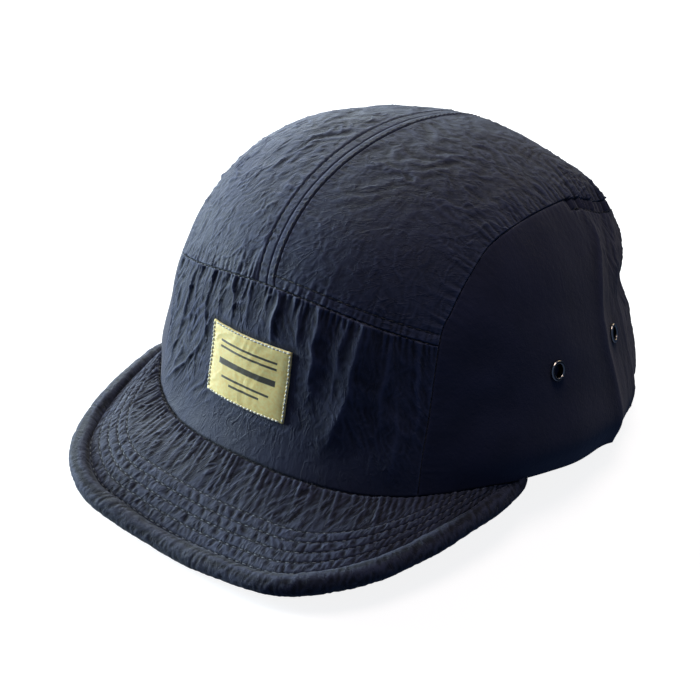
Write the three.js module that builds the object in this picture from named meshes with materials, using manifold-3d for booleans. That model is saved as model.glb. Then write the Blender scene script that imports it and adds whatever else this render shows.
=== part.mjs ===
// A soft sports cap with a low front band, two top panels, two side panels and a short soft peak.
// It stands empty on a table, on its peak and its back rim.
// Millimetres, +Z up, the peak points to -Y and the wearer's left side is at +X.
// The origin is on the table, under the middle of the cap.
import * as THREE from 'three';
import { mergeVertices } from 'three/addons/utils/BufferGeometryUtils.js';
import Module from 'manifold-3d';

// Crown, measured from the middle of the rim's oval
const CROWN_HALF_WIDTH = 89.5;
const CROWN_FRONT_REACH = 96.5;
const CROWN_BACK_REACH = 92.2;
const CROWN_HEIGHT = 119.4;
const PLAN_POWER = 0.955;
const TOP_SHIFT_FORWARD = 7.3;
const TOP_SHIFT_POWER = 1.5;
const RIM_MIDDLE_Y = 16.4;

// Cloth, seams and gaps between pieces
const SHELL_THICKNESS = 1.6;
const PIECE_GAP = 0.3;
const LEVEL_RIM_SHARE = 0.1;

// Height of the rim above the table, one row for every 30 degrees from the front to the back
const RIM_ROWS = [
  { height: 22.3 },
  { height: 19.2 },
  { height: 19.7 },
  { height: 12.2 },
  { height: 2.8 },
  { height: -0.8 },
  { height: 3.4 },
];

// Profile from the rim to the top in equal steps: lift is the share of the height,
// and front, side and back are shares of the rim's reach in those directions
const PROFILE_ROWS = [
  { lift: 0, front: 1, side: 1, back: 1 },
  { lift: 0.109, front: 0.946, side: 1.021, back: 1.099 },
  { lift: 0.268, front: 0.905, side: 0.962, back: 1.109 },
  { lift: 0.53, front: 0.845, side: 0.861, back: 1.041 },
  { lift: 0.725, front: 0.737, side: 0.743, back: 0.899 },
  { lift: 0.865, front: 0.561, side: 0.57, back: 0.686 },
  { lift: 0.963, front: 0.315, side: 0.315, back: 0.401 },
  { lift: 1, front: 0, side: 0, back: 0 },
];

// Places where the wall stands out, or in where depth is negative:
// angle from the front and width in degrees, lift and tall as shares of the height
const DENTS = [
  { angle: 155, lift: 0.62, width: 38, tall: 0.19, depth: 3.5 },
  { angle: 160, lift: 0.47, width: 40, tall: 0.06, depth: -4.3 },
  { angle: 109, lift: 0.86, width: 27, tall: 0.11, depth: 2.1 },
  { angle: 150, lift: 0.18, width: 26, tall: 0.18, depth: 3.2 },
  { angle: 135, lift: 0.79, width: 10, tall: 0.18, depth: 3.7 },
];
const DENT_REACH = 90;

// The seam between the front band and the top panels: its share of the way from rim to top
const FRONT_SEAM_MIDDLE = 0.485;
const FRONT_SEAM_SIDE = 0.348;

// The side seam, from its foot on the rim over the arch to the middle of the back
const SIDE_SEAM = [
  { angle: 40.5, share: 0 },
  { angle: 41.6, share: 0.21 },
  { angle: 45.2, share: 0.416 },
  { angle: 49, share: 0.485 },
  { angle: 55, share: 0.555 },
  { angle: 65, share: 0.625 },
  { angle: 80, share: 0.663 },
  { angle: 96, share: 0.672 },
  { angle: 112, share: 0.658 },
  { angle: 128, share: 0.598 },
  { angle: 145, share: 0.55 },
  { angle: 162, share: 0.52 },
  { angle: 180, share: 0.51 },
];
const SEAM_JUNCTION_ROW = 2;
const SEAM_SHOULDER_ROW = 4;
const SEAM_REAR_ROW = 8;

// Vertical folds that hang from the front seam, from the wearer's right to the left
const BAND_FOLDS = [
  { angle: -36, width: 2.6, depth: 0.9, foot: 0.35 },
  { angle: -30, width: 2.2, depth: 1.1, foot: 0.15 },
  { angle: -23, width: 2.4, depth: 0.8, foot: 0.5 },
  { angle: -17, width: 1.9, depth: 1.0, foot: 0.6 },
  { angle: -10, width: 2.1, depth: 0.8, foot: 0.65 },
  { angle: -3, width: 2.0, depth: 0.9, foot: 0.7 },
  { angle: 4, width: 2.3, depth: 0.8, foot: 0.6 },
  { angle: 11, width: 2.0, depth: 1.0, foot: 0.45 },
  { angle: 17, width: 2.4, depth: 1.2, foot: 0.15 },
  { angle: 24, width: 2.2, depth: 1.1, foot: 0.2 },
  { angle: 31, width: 2.6, depth: 0.8, foot: 0.4 },
];
const FOLD_FADE = 0.3;
const FOLD_AT_SEAM = 0.6;

// Ruffles where elastic gathers the back of the rim
const RUFFLE_START = 105;
const RUFFLE_PITCH = 10.7;
const RUFFLE_DEPTH = 0.9;
const RUFFLE_TALL = 0.12;

// Outer edge of the peak, as the middle of its rolled edge, from the centre line to one side
const PEAK_EDGE = [
  { across: 0, forward: 132.2, height: 3.6 },
  { across: 22.4, forward: 131.8, height: 5 },
  { across: 42.6, forward: 129.1, height: 7.3 },
  { across: 59.5, forward: 116.7, height: 10.4 },
  { across: 70.5, forward: 96, height: 12.1 },
  { across: 77.3, forward: 69.2, height: 14.3 },
];
const PEAK_END_ANGLE = 66.8;
const PEAK_THICKNESS = 2;
const PEAK_BULGE = 1.5;
const PEAK_CLOTH_END = 0.96;
const ROLL_RADIUS = 3.6;
const ROLL_END_RADIUS = 1.2;
const ROLL_TAPER = 0.16;
const ROLL_END_IN = 0.9;

// Sweatband inside the rim; its lower edge hangs a little beside the ends of the peak
const SWEATBAND_THICKNESS = 1.2;
const SWEATBAND_SHARE = 0.17;
const SWEATBAND_GAP = 0.8;
const SWEATBAND_RECESS = 0.8;
const SWEATBAND_SAG = 2;
const SWEATBAND_SAG_ANGLE = 78;
const SWEATBAND_SAG_WIDTH = 9;

// Woven label on the front band
const LABEL_WIDTH = 36.4;
const LABEL_HEIGHT = 27.5;
const LABEL_THICKNESS = 0.8;
const LABEL_MIDDLE_X = -4.8;
const LABEL_MIDDLE_Z = 50.5;
const LABEL_SPREAD = 4;
const SEARCH_ROUNDS = 12;
const PROFILE_LENGTH = 190;

// Metal eyelets, mirrored to the right side
const EYELETS = [
  { name: 'front', angle: 77, share: 0.34 },
  { name: 'back', angle: 105, share: 0.35 },
];
const EYELET_RADIUS = 3.75;
const EYELET_BORE = 2;
const EYELET_BARREL = 2.6;
const EYELET_PUNCH = 2.9;
const EYELET_RISE = 0.9;
const EYELET_WASHER = 0.45;
const EYELET_ROUNDING = 0.3;
const EYELET_CREST_IN = 0.6;
const EYELET_SIDES = 14;
const PUNCH_LENGTH = 12;
const PUNCH_SIDES = 20;

// Steps for directions: a share of the disc's radius, and a share of the peak's edge
const NORMAL_STEP = 0.004;
const EDGE_STEP = 0.01;

// Numbers of columns, rows and sides
const BAND_GRID = { width: 135, tall: 55, columns: 54, rows: 8 };
const TOP_GRID = { width: 65, tall: 110, columns: 12, rows: 16 };
const SIDE_GRID = { width: 180, tall: 75, columns: 32, rows: 8 };
const PEAK_GRID = { columns: 40, rows: 5 };
const ROLL_GRID = { columns: 52, sides: 8 };
const SWEATBAND_GRID = { columns: 64, rows: 3 };
const LABEL_GRID = { columns: 10, rows: 6 };

const FULL_TURN = 2 * Math.PI;
const HALF_TURN = 180;

// Smooth helpers

// A smooth curve through one column of a table whose rows are at equal steps; before and after
// are the values that stand for the rows just outside the table
function spline(rows, column, share, before, after) {
  const last = rows.length - 1;
  const place = Math.min(Math.max(share, 0), 1) * last;
  const index = Math.min(Math.floor(place), last - 1);
  const f = place - index;
  const value = (row) => {
    if (row < 0) return before ?? 2 * rows[0][column] - rows[1][column];
    if (row > last) return after ?? 2 * rows[last][column] - rows[last - 1][column];
    return rows[row][column];
  };
  const [a, b, c, d] = [value(index - 1), value(index), value(index + 1), value(index + 2)];
  const square = (2 * a - 5 * b + 4 * c - d) * f * f;
  const cube = (3 * b - a - 3 * c + d) * f * f * f;
  return 0.5 * (2 * b + (c - a) * f + square + cube);
}

function bump(distance, width) {
  return Math.exp(-((distance / width) ** 2));
}

function smoothStep(low, high, value) {
  return THREE.MathUtils.smoothstep(value, low, high);
}

// Crown surface. An angle is in degrees from the front, positive to the wearer's left, and a
// share runs from 0 at the rim to 1 at the top.

// A sine or cosine for a plan that is a little squarer than an oval
function squarer(value) {
  return Math.sign(value) * Math.abs(value) ** PLAN_POWER;
}

function rimHeight(angle) {
  const rows = RIM_ROWS;
  const mirrored = rows[rows.length - 2].height;
  const height = spline(rows, 'height', Math.abs(angle) / HALF_TURN, rows[1].height, mirrored);
  return Math.max(height, 0);
}

function crownPoint(angle, share) {
  const turn = THREE.MathUtils.degToRad(angle);
  const ahead = squarer(Math.cos(turn));
  const aside = squarer(Math.sin(turn));
  const nearTop = PROFILE_ROWS[PROFILE_ROWS.length - 2];
  const lift = spline(PROFILE_ROWS, 'lift', share, undefined, nearTop.lift);
  const reachTo = (side) => spline(PROFILE_ROWS, side, share, undefined, -nearTop[side]);
  const sideways = Math.sin(turn) ** 2;
  let reach = sideways * reachTo('side');
  reach += (1 - sideways) * reachTo(ahead > 0 ? 'front' : 'back');
  for (const dent of DENTS) {
    const around = bump(Math.abs(angle) - dent.angle, dent.width);
    reach += (dent.depth / DENT_REACH) * around * bump(lift - dent.lift, dent.tall);
  }
  const rim = rimHeight(angle);
  const forward = ahead > 0 ? CROWN_FRONT_REACH : CROWN_BACK_REACH;
  const shift = TOP_SHIFT_FORWARD * Math.max(lift, 0) ** TOP_SHIFT_POWER;
  return new THREE.Vector3(
    CROWN_HALF_WIDTH * aside * reach,
    -forward * ahead * reach - shift,
    rim + lift * (CROWN_HEIGHT - rim),
  );
}

// The crown laid out as a disc: the rim is the circle of radius 1 and the top is the middle
function discPoint(angle, share) {
  const turn = THREE.MathUtils.degToRad(angle);
  return new THREE.Vector2(Math.sin(turn), -Math.cos(turn)).multiplyScalar(1 - share);
}

function discPlace(disc) {
  const angle = THREE.MathUtils.radToDeg(Math.atan2(disc.x, -disc.y));
  return { angle, share: 1 - disc.length() };
}

function onCrown(disc) {
  const { angle, share } = discPlace(disc);
  return crownPoint(angle, share);
}

function crownNormal(disc) {
  const inside = disc.clone().clampLength(0, 1 - NORMAL_STEP);
  const change = (x, y) => {
    const ahead = onCrown(new THREE.Vector2(inside.x + x, inside.y + y));
    return ahead.sub(onCrown(new THREE.Vector2(inside.x - x, inside.y - y)));
  };
  return change(NORMAL_STEP, 0).cross(change(0, NORMAL_STEP)).normalize();
}

// Solids

// One closed solid through a row of rings with the same number of points each. It is a closed
// loop of rings, or its two ends are shut by strips between the first and second half of a ring.
function loft(rings, isLoop = false) {
  const sides = rings[0].length;
  const triangles = [];
  const quad = (a, b, c, d) => triangles.push(a, b, c, a, c, d);
  const spans = isLoop ? rings.length : rings.length - 1;
  for (let ring = 0; ring < spans; ring += 1) {
    const here = ring * sides;
    const there = ((ring + 1) % rings.length) * sides;
    for (let side = 0; side < sides; side += 1) {
      const next = (side + 1) % sides;
      quad(here + side, here + next, there + next, there + side);
    }
  }
  if (!isLoop) {
    const end = (rings.length - 1) * sides;
    for (let side = 0; side < sides / 2 - 1; side += 1) {
      const far = sides - 1 - side;
      quad(far, far - 1, side + 1, side);
      quad(end + side, end + side + 1, end + far - 1, end + far);
    }
  }
  return solidGeometry(rings.flat(), triangles);
}

function signedVolume(points, triangles) {
  let volume = 0;
  for (let i = 0; i < triangles.length; i += 3) {
    const [a, b, c] = [points[triangles[i]], points[triangles[i + 1]], points[triangles[i + 2]]];
    volume += a.dot(b.clone().cross(c)) / 6;
  }
  return volume;
}

// A geometry of those points and triangles with its faces pointing out
function solidGeometry(points, triangles) {
  const facing = [...triangles];
  if (signedVolume(points, triangles) < 0) facing.reverse();
  const geometry = new THREE.BufferGeometry();
  const numbers = points.flatMap((point) => point.toArray());
  geometry.setAttribute('position', new THREE.Float32BufferAttribute(numbers, 3));
  geometry.setIndex(facing);
  geometry.computeVertexNormals();
  return geometry;
}

function shares(count) {
  return Array.from({ length: count + 1 }, (_, i) => i / count);
}

// Panels of the crown

function frontSeamShare(angle) {
  const aside = Math.sin(THREE.MathUtils.degToRad(angle)) ** 2;
  return FRONT_SEAM_MIDDLE + (FRONT_SEAM_SIDE - FRONT_SEAM_MIDDLE) * aside;
}

// A stretch of the side seam between two rows of its table, on one side of the cap
function sideSeam(side, fromRow, toRow) {
  return (share) => {
    const place = THREE.MathUtils.lerp(fromRow, toRow, share) / (SIDE_SEAM.length - 1);
    const angle = spline(SIDE_SEAM, 'angle', place);
    return discPoint(side * angle, spline(SIDE_SEAM, 'share', place));
  };
}

function rimStretch(fromAngle, toAngle) {
  return (share) => discPoint(THREE.MathUtils.lerp(fromAngle, toAngle, share), 0);
}

function frontSeam(fromAngle, toAngle) {
  return (share) => {
    const angle = THREE.MathUtils.lerp(fromAngle, toAngle, share);
    return discPoint(angle, frontSeamShare(angle));
  };
}

// A straight stretch of the middle line on the disc, over the top of the cap
function middleLine(fromY, toY) {
  return (share) => new THREE.Vector2(0, THREE.MathUtils.lerp(fromY, toY, share));
}

// The place at across, up of a patch between four edges: bottom and top run across,
// start and end run up
function patchPoint(edges, across, up) {
  const point = new THREE.Vector2();
  point.addScaledVector(edges.bottom(across), 1 - up);
  point.addScaledVector(edges.top(across), up);
  point.addScaledVector(edges.start(up), 1 - across);
  point.addScaledVector(edges.end(up), across);
  point.addScaledVector(edges.bottom(0), -(1 - across) * (1 - up));
  point.addScaledVector(edges.bottom(1), -across * (1 - up));
  point.addScaledVector(edges.top(0), -(1 - across) * up);
  point.addScaledVector(edges.top(1), -across * up);
  return point;
}

// How far the cloth of the front band stands out in its folds
function bandRelief(angle, share) {
  const seam = frontSeamShare(angle);
  let relief = 0;
  for (const fold of BAND_FOLDS) {
    const up = share / seam;
    const tall = smoothStep(fold.foot, fold.foot + FOLD_FADE, up);
    const atSeam = 1 - (1 - FOLD_AT_SEAM) * smoothStep(1 - FOLD_FADE, 1, up);
    relief += fold.depth * bump(angle - fold.angle, fold.width) * tall * atSeam;
  }
  return relief * (1 - labelShare(angle, share));
}

// How far the cloth at the back stands out in the ruffles of the elastic
function backRelief(angle, share) {
  const past = Math.abs(angle) - RUFFLE_START;
  if (past < 0) return 0;
  const wave = Math.sin((Math.PI * past) / RUFFLE_PITCH) ** 2;
  return RUFFLE_DEPTH * wave * bump(share, RUFFLE_TALL);
}

function flatRelief() {
  return 0;
}

// The outer face of the shell at a place on the disc, moved in by inset. Near the rim the wall
// is measured level, so that its lower edge is level across the cloth.
function shellPoint(disc, relief, inset) {
  const { angle, share } = discPlace(disc);
  const outward = crownNormal(disc);
  outward.z *= smoothStep(0, LEVEL_RIM_SHARE, share);
  outward.normalize();
  return onCrown(disc).addScaledVector(outward, relief(angle, share) - inset);
}

// A panel of cloth over a patch whose size is about width by tall. It stops half a gap short of
// its seams, and an edge on the rim has no gap.
function panel({ edges, width, tall, columns, rows, relief, isOnRim }) {
  const insetAcross = PIECE_GAP / 2 / width;
  const insetUp = PIECE_GAP / 2 / tall;
  const rings = shares(columns).map((column) => {
    const across = THREE.MathUtils.lerp(insetAcross, 1 - insetAcross, column);
    const discs = shares(rows).map((row) => {
      const up = THREE.MathUtils.lerp(isOnRim ? 0 : insetUp, 1 - insetUp, row);
      return patchPoint(edges, across, up);
    });
    const outer = discs.map((disc) => shellPoint(disc, relief, 0));
    const inner = discs.map((disc) => shellPoint(disc, relief, SHELL_THICKNESS));
    return [...outer, ...inner.reverse()];
  });
  return loft(rings);
}

function frontBand() {
  const foot = SIDE_SEAM[0].angle;
  const junction = SIDE_SEAM[SEAM_JUNCTION_ROW].angle;
  const edges = {
    bottom: rimStretch(-foot, foot),
    top: frontSeam(-junction, junction),
    start: sideSeam(-1, 0, SEAM_JUNCTION_ROW),
    end: sideSeam(1, 0, SEAM_JUNCTION_ROW),
  };
  return panel({ edges, ...BAND_GRID, relief: bandRelief, isOnRim: true });
}

function topPanel(side) {
  const junction = side * SIDE_SEAM[SEAM_JUNCTION_ROW].angle;
  const last = SIDE_SEAM.length - 1;
  const rear = sideSeam(side, SEAM_REAR_ROW, last);
  const edges = {
    bottom: frontSeam(0, junction),
    top: (share) => rear(1 - share),
    start: middleLine(-(1 - FRONT_SEAM_MIDDLE), 1 - SIDE_SEAM[last].share),
    end: sideSeam(side, SEAM_JUNCTION_ROW, SEAM_REAR_ROW),
  };
  return panel({ edges, ...TOP_GRID, relief: flatRelief, isOnRim: false });
}

function sidePanel(side) {
  const last = SIDE_SEAM.length - 1;
  const edges = {
    bottom: rimStretch(side * SIDE_SEAM[0].angle, side * HALF_TURN),
    top: sideSeam(side, SEAM_SHOULDER_ROW, last),
    start: sideSeam(side, 0, SEAM_SHOULDER_ROW),
    end: middleLine(1, 1 - SIDE_SEAM[last].share),
  };
  return panel({ edges, ...SIDE_GRID, relief: backRelief, isOnRim: true });
}

// Peak

// The middle of the rolled edge at a share from the wearer's right end (-1) to the left end (1)
function peakEdge(share) {
  const end = crownPoint(PEAK_END_ANGLE, 0);
  end.addScaledVector(new THREE.Vector3(end.x, end.y, 0).normalize(), -ROLL_END_IN);
  end.z -= ROLL_END_RADIUS + PIECE_GAP;
  const rows = [...PEAK_EDGE, { across: end.x, forward: -end.y, height: end.z }];
  const place = Math.abs(share);
  const across = spline(rows, 'across', place, -rows[1].across);
  const forward = spline(rows, 'forward', place, rows[1].forward);
  const height = spline(rows, 'height', place, rows[1].height);
  return new THREE.Vector3(Math.sign(share) * across, -forward, height);
}

function rollRadius(share) {
  const toEnd = smoothStep(0, ROLL_TAPER, 1 - Math.abs(share));
  return THREE.MathUtils.lerp(ROLL_END_RADIUS, ROLL_RADIUS, toEnd);
}

// The direction of the rolled edge at a share, from the wearer's right to the left
function edgeDirection(share) {
  const ahead = peakEdge(Math.min(share + EDGE_STEP, 1));
  return ahead.sub(peakEdge(Math.max(share - EDGE_STEP, -1))).normalize();
}

// The level direction out of the peak at a share of its edge
function edgeOutward(share) {
  const direction = edgeDirection(share);
  return new THREE.Vector3(direction.y, -direction.x, 0).normalize();
}

// The upper face of the peak: along runs from -1 to 1 over its width, out from the rim to the roll
function peakTop(along, out) {
  const rim = crownPoint(along * PEAK_END_ANGLE, 0);
  const toMiddle = new THREE.Vector3(-rim.x, -rim.y, 0).normalize();
  rim.addScaledVector(toMiddle, SHELL_THICKNESS);
  rim.z -= PIECE_GAP;
  const groove = peakEdge(along);
  groove.addScaledVector(edgeOutward(along), -rollRadius(along) - PIECE_GAP);
  groove.z += PEAK_THICKNESS / 2;
  const point = rim.lerp(groove, out);
  point.z += PEAK_BULGE * Math.sin(Math.PI * out) * (1 - along * along);
  return point;
}

function peak() {
  const rings = shares(PEAK_GRID.columns).map((share) => {
    const along = (2 * share - 1) * PEAK_CLOTH_END;
    const top = shares(PEAK_GRID.rows).map((out) => peakTop(along, out));
    const under = top.map((point) => point.clone().setZ(point.z - PEAK_THICKNESS));
    return [...top, ...under.reverse()];
  });
  return loft(rings);
}

function peakRoll() {
  const { columns, sides } = ROLL_GRID;
  const rings = shares(columns).map((share) => {
    const along = 2 * share - 1;
    const centre = peakEdge(along);
    const level = edgeOutward(along);
    const upright = level.clone().cross(edgeDirection(along));
    return Array.from({ length: sides }, (_, side) => {
      const turn = (FULL_TURN * side) / sides;
      const point = centre.clone().addScaledVector(level, rollRadius(along) * Math.cos(turn));
      return point.addScaledVector(upright, rollRadius(along) * Math.sin(turn));
    });
  });
  return loft(rings);
}

// Sweatband

function sweatband() {
  const { columns, rows } = SWEATBAND_GRID;
  const rings = Array.from({ length: columns }, (_, column) => {
    const angle = ((2 * column) / columns - 1) * HALF_TURN;
    const sag = SWEATBAND_SAG * bump(Math.abs(angle) - SWEATBAND_SAG_ANGLE, SWEATBAND_SAG_WIDTH);
    const wall = (inset) => shares(rows).map((up) => {
      const point = shellPoint(discPoint(angle, up * SWEATBAND_SHARE), flatRelief, inset);
      if (up === 0) point.z += SWEATBAND_RECESS - sag;
      return point;
    });
    const outer = wall(SHELL_THICKNESS + SWEATBAND_GAP);
    const inner = wall(SHELL_THICKNESS + SWEATBAND_GAP + SWEATBAND_THICKNESS);
    return [...outer, ...inner.reverse()];
  });
  return loft(rings, true);
}

// Label

// The place on the crown whose X and Z are those given, near the front
function discAt(x, z) {
  const disc = discPoint(x, FRONT_SEAM_SIDE);
  for (let round = 0; round < SEARCH_ROUNDS; round += 1) {
    const { angle, share } = discPlace(disc);
    const point = crownPoint(angle, share);
    const nextAngle = angle + ((x - point.x) / CROWN_FRONT_REACH) * (HALF_TURN / Math.PI);
    disc.copy(discPoint(nextAngle, share + (z - point.z) / PROFILE_LENGTH));
  }
  return disc;
}

// 1 where the label is sewn down, fading to 0 a little past its edges
function labelShare(angle, share) {
  const point = crownPoint(angle, share);
  const pastX = Math.abs(point.x - LABEL_MIDDLE_X) - LABEL_WIDTH / 2;
  const pastZ = Math.abs(point.z - LABEL_MIDDLE_Z) - LABEL_HEIGHT / 2;
  return (1 - smoothStep(0, LABEL_SPREAD, pastX)) * (1 - smoothStep(0, LABEL_SPREAD, pastZ));
}

function label() {
  const { columns, rows } = LABEL_GRID;
  const rings = shares(columns).map((column) => {
    const x = LABEL_MIDDLE_X + (column - 0.5) * LABEL_WIDTH;
    const discs = shares(rows).map((row) => {
      return discAt(x, LABEL_MIDDLE_Z + (row - 0.5) * LABEL_HEIGHT);
    });
    const under = discs.map((disc) => shellPoint(disc, bandRelief, -PIECE_GAP));
    const top = discs.map((disc) => shellPoint(disc, bandRelief, -PIECE_GAP - LABEL_THICKNESS));
    return [...top, ...under.reverse()];
  });
  return loft(rings);
}

// Eyelets

// Puts a geometry made along +Y on the shell, with +Y pointing out
function placeOnShell(geometry, side, eyelet) {
  const disc = discPoint(side * eyelet.angle, eyelet.share);
  const out = crownNormal(disc);
  const turn = new THREE.Quaternion().setFromUnitVectors(new THREE.Vector3(0, 1, 0), out);
  geometry.applyQuaternion(turn);
  const centre = onCrown(disc);
  geometry.translate(centre.x, centre.y, centre.z);
  return geometry;
}

function eyeletRing(side, eyelet) {
  const inside = -SHELL_THICKNESS - PIECE_GAP;
  const crest = PIECE_GAP + EYELET_RISE;
  const profile = [
    [EYELET_BORE, inside - EYELET_WASHER],
    [EYELET_RADIUS, inside - EYELET_WASHER],
    [EYELET_RADIUS, inside],
    [EYELET_BARREL, inside],
    [EYELET_BARREL, PIECE_GAP],
    [EYELET_RADIUS, PIECE_GAP],
    [EYELET_RADIUS, crest - 2 * EYELET_ROUNDING],
    [EYELET_RADIUS - EYELET_CREST_IN, crest],
    [EYELET_BORE + EYELET_CREST_IN, crest - EYELET_ROUNDING],
    [EYELET_BORE, PIECE_GAP],
    [EYELET_BORE, inside - EYELET_WASHER],
  ];
  const points = profile.map(([radius, height]) => new THREE.Vector2(radius, height));
  return placeOnShell(new THREE.LatheGeometry(points, EYELET_SIDES), side, eyelet);
}

function punch(side, eyelet) {
  const hole = new THREE.CylinderGeometry(EYELET_PUNCH, EYELET_PUNCH, PUNCH_LENGTH, PUNCH_SIDES);
  return placeOnShell(hole, side, eyelet);
}

const wasm = await Module();
wasm.setup();

function toSolid(geometry) {
  const bare = geometry.clone();
  bare.deleteAttribute('normal');
  bare.deleteAttribute('uv');
  const merged = mergeVertices(bare, 1e-4);
  const vertProperties = new Float32Array(merged.attributes.position.array);
  const triVerts = new Uint32Array(merged.index.array);
  return new wasm.Manifold(new wasm.Mesh({ numProp: 3, vertProperties, triVerts }));
}

function toGeometry(solid) {
  const mesh = solid.getMesh();
  const geometry = new THREE.BufferGeometry();
  geometry.setAttribute('position', new THREE.Float32BufferAttribute(mesh.vertProperties, 3));
  geometry.setIndex(Array.from(mesh.triVerts));
  geometry.computeVertexNormals();
  return geometry;
}

function sidePanelWithHoles(side) {
  let cloth = toSolid(sidePanel(side));
  for (const eyelet of EYELETS) cloth = cloth.subtract(toSolid(punch(side, eyelet)));
  return toGeometry(cloth);
}

// Materials

const NYLON = new THREE.MeshStandardMaterial({ color: 0x2b3040, roughness: 0.62, metalness: 0 });
const PEAK_NYLON = new THREE.MeshStandardMaterial({ color: 0x2a2e3c, roughness: 0.66, metalness: 0 });
const EDGE_NYLON = new THREE.MeshStandardMaterial({ color: 0x292d3a, roughness: 0.7, metalness: 0 });
const BAND_TAPE = new THREE.MeshStandardMaterial({ color: 0x343742, roughness: 0.85, metalness: 0 });
const SATIN = new THREE.MeshStandardMaterial({ color: 0xc2ae74, roughness: 0.5, metalness: 0 });
const METAL = new THREE.MeshStandardMaterial({ color: 0x16171b, roughness: 0.3, metalness: 0.9 });

// Assembly

const cap = new THREE.Group();
cap.position.y = RIM_MIDDLE_Y;

function add(name, geometry, material) {
  const mesh = new THREE.Mesh(geometry, material);
  mesh.name = name;
  cap.add(mesh);
}

add('front_band', frontBand(), NYLON);
add('peak', peak(), PEAK_NYLON);
add('peak_edge_roll', peakRoll(), EDGE_NYLON);
add('sweatband', sweatband(), BAND_TAPE);
add('label', label(), SATIN);
for (const [sideName, side] of [['left', 1], ['right', -1]]) {
  add(`top_panel_${sideName}`, topPanel(side), NYLON);
  add(`side_panel_${sideName}`, sidePanelWithHoles(side), NYLON);
  for (const eyelet of EYELETS) {
    add(`eyelet_${sideName}_${eyelet.name}`, eyeletRing(side, eyelet), METAL);
  }
}

export default cap;
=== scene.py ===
"""The looks of a soft nylon sports cap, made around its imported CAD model.

Shapes are worked out in millimetres on the crown's own surface and made in metres.
An angle is in degrees from the front, positive to the wearer's left. A share runs
from 0 at the rim to 1 at the top of the crown.
"""

import math
from functools import partial
from typing import NamedTuple

import bpy
import numpy as np
from mathutils import Matrix, Vector
from mathutils.bvhtree import BVHTree
from mathutils.kdtree import KDTree


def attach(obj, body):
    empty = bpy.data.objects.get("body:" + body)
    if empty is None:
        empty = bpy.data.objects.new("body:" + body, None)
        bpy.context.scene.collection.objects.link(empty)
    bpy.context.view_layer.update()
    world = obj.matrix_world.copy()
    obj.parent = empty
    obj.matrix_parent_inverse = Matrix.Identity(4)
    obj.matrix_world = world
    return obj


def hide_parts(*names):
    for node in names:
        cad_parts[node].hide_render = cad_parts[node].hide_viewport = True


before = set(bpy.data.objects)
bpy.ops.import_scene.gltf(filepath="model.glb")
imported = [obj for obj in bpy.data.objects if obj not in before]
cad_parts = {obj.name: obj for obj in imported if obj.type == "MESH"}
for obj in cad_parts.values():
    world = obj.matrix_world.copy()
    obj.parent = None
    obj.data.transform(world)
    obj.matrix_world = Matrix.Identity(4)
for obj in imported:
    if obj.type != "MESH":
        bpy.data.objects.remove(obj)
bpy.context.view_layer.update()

MM = 0.001

# Crown, as in the CAD model
CROWN_HALF_WIDTH = 89.5
CROWN_FRONT_REACH = 96.5
CROWN_BACK_REACH = 92.2
CROWN_HEIGHT = 119.4
PLAN_POWER = 0.955
TOP_SHIFT_FORWARD = 7.3
TOP_SHIFT_POWER = 1.5
RIM_MIDDLE_Y = 16.4
RIM_HEIGHTS = [22.3, 19.2, 19.7, 12.2, 2.8, -0.8, 3.4]

# Profile from the rim to the top in equal steps, as shares of the height and of the reach
PROFILE_LIFT = [0, 0.109, 0.268, 0.53, 0.725, 0.865, 0.963, 1]
PROFILE_FRONT = [1, 0.946, 0.905, 0.845, 0.737, 0.561, 0.315, 0]
PROFILE_SIDE = [1, 1.021, 0.962, 0.861, 0.743, 0.57, 0.315, 0]
PROFILE_BACK = [1, 1.099, 1.109, 1.041, 0.899, 0.686, 0.401, 0]

# Places where the wall stands out or in: angle, lift, width in degrees, height share, depth
DENTS = [
    (155, 0.62, 38, 0.19, 3.5),
    (160, 0.47, 40, 0.06, -4.3),
    (109, 0.86, 27, 0.11, 2.1),
    (150, 0.18, 26, 0.18, 3.2),
    (135, 0.79, 10, 0.18, 3.7),
]
DENT_REACH = 90

# Soft swells of one side only: angle, share, width and height in mm
SWELLS = [(-70, 0.84, 26, 3.3), (-45, 0.37, 22, 1.5)]

# Seams
FRONT_SEAM_MIDDLE = 0.485
FRONT_SEAM_SIDE = 0.348
SIDE_SEAM_ANGLE = [40.5, 41.6, 45.2, 49, 55, 65, 80, 96, 112, 128, 145, 162, 180]
SIDE_SEAM_SHARE = [
    0, 0.21, 0.416, 0.485, 0.555, 0.625, 0.663, 0.672, 0.658, 0.598, 0.55, 0.52, 0.51,
]
SEAM_JUNCTION_ROW = 2
SEAM_SHOULDER_ROW = 4
SEAM_REAR_ROW = 8
SEAM_LAST_ROW = 12
JUNCTION = SIDE_SEAM_ANGLE[SEAM_JUNCTION_ROW]
REAR_Y = 1 - SIDE_SEAM_SHARE[-1]
# The centre seam starts this far off the middle, in degrees, and wanders, in disc units
CENTRE_FOOT = -0.8
CENTRE_DRIFT = -0.011

# Peak
PEAK_ACROSS = [0, 22.4, 42.6, 59.5, 70.7, 77.9]
PEAK_FORWARD = [132.2, 131.8, 129.1, 116.7, 96, 69.2]
PEAK_HEIGHT = [3.6, 5, 7.3, 10.4, 12.4, 15.0]
PEAK_END_ANGLE = 66.8
PEAK_THICKNESS = 2
PEAK_BULGE = 1.9
PEAK_TILT = 0.7
PEAK_CLOTH_END = 0.993
PEAK_START = 2.0
ROLL_RADIUS = 3.6
ROLL_END_RADIUS = 2.2
ROLL_TAPER = 0.1
ROLL_END_IN = 0.6
ROLL_TIP = 0.02

# Label
LABEL_WIDTH, LABEL_HEIGHT, LABEL_THICKNESS = 35.6, 25.8, 0.6
LABEL_MIDDLE_X, LABEL_MIDDLE_Z = -4.7, 49.7
LABEL_LIFT = 0.55
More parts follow.
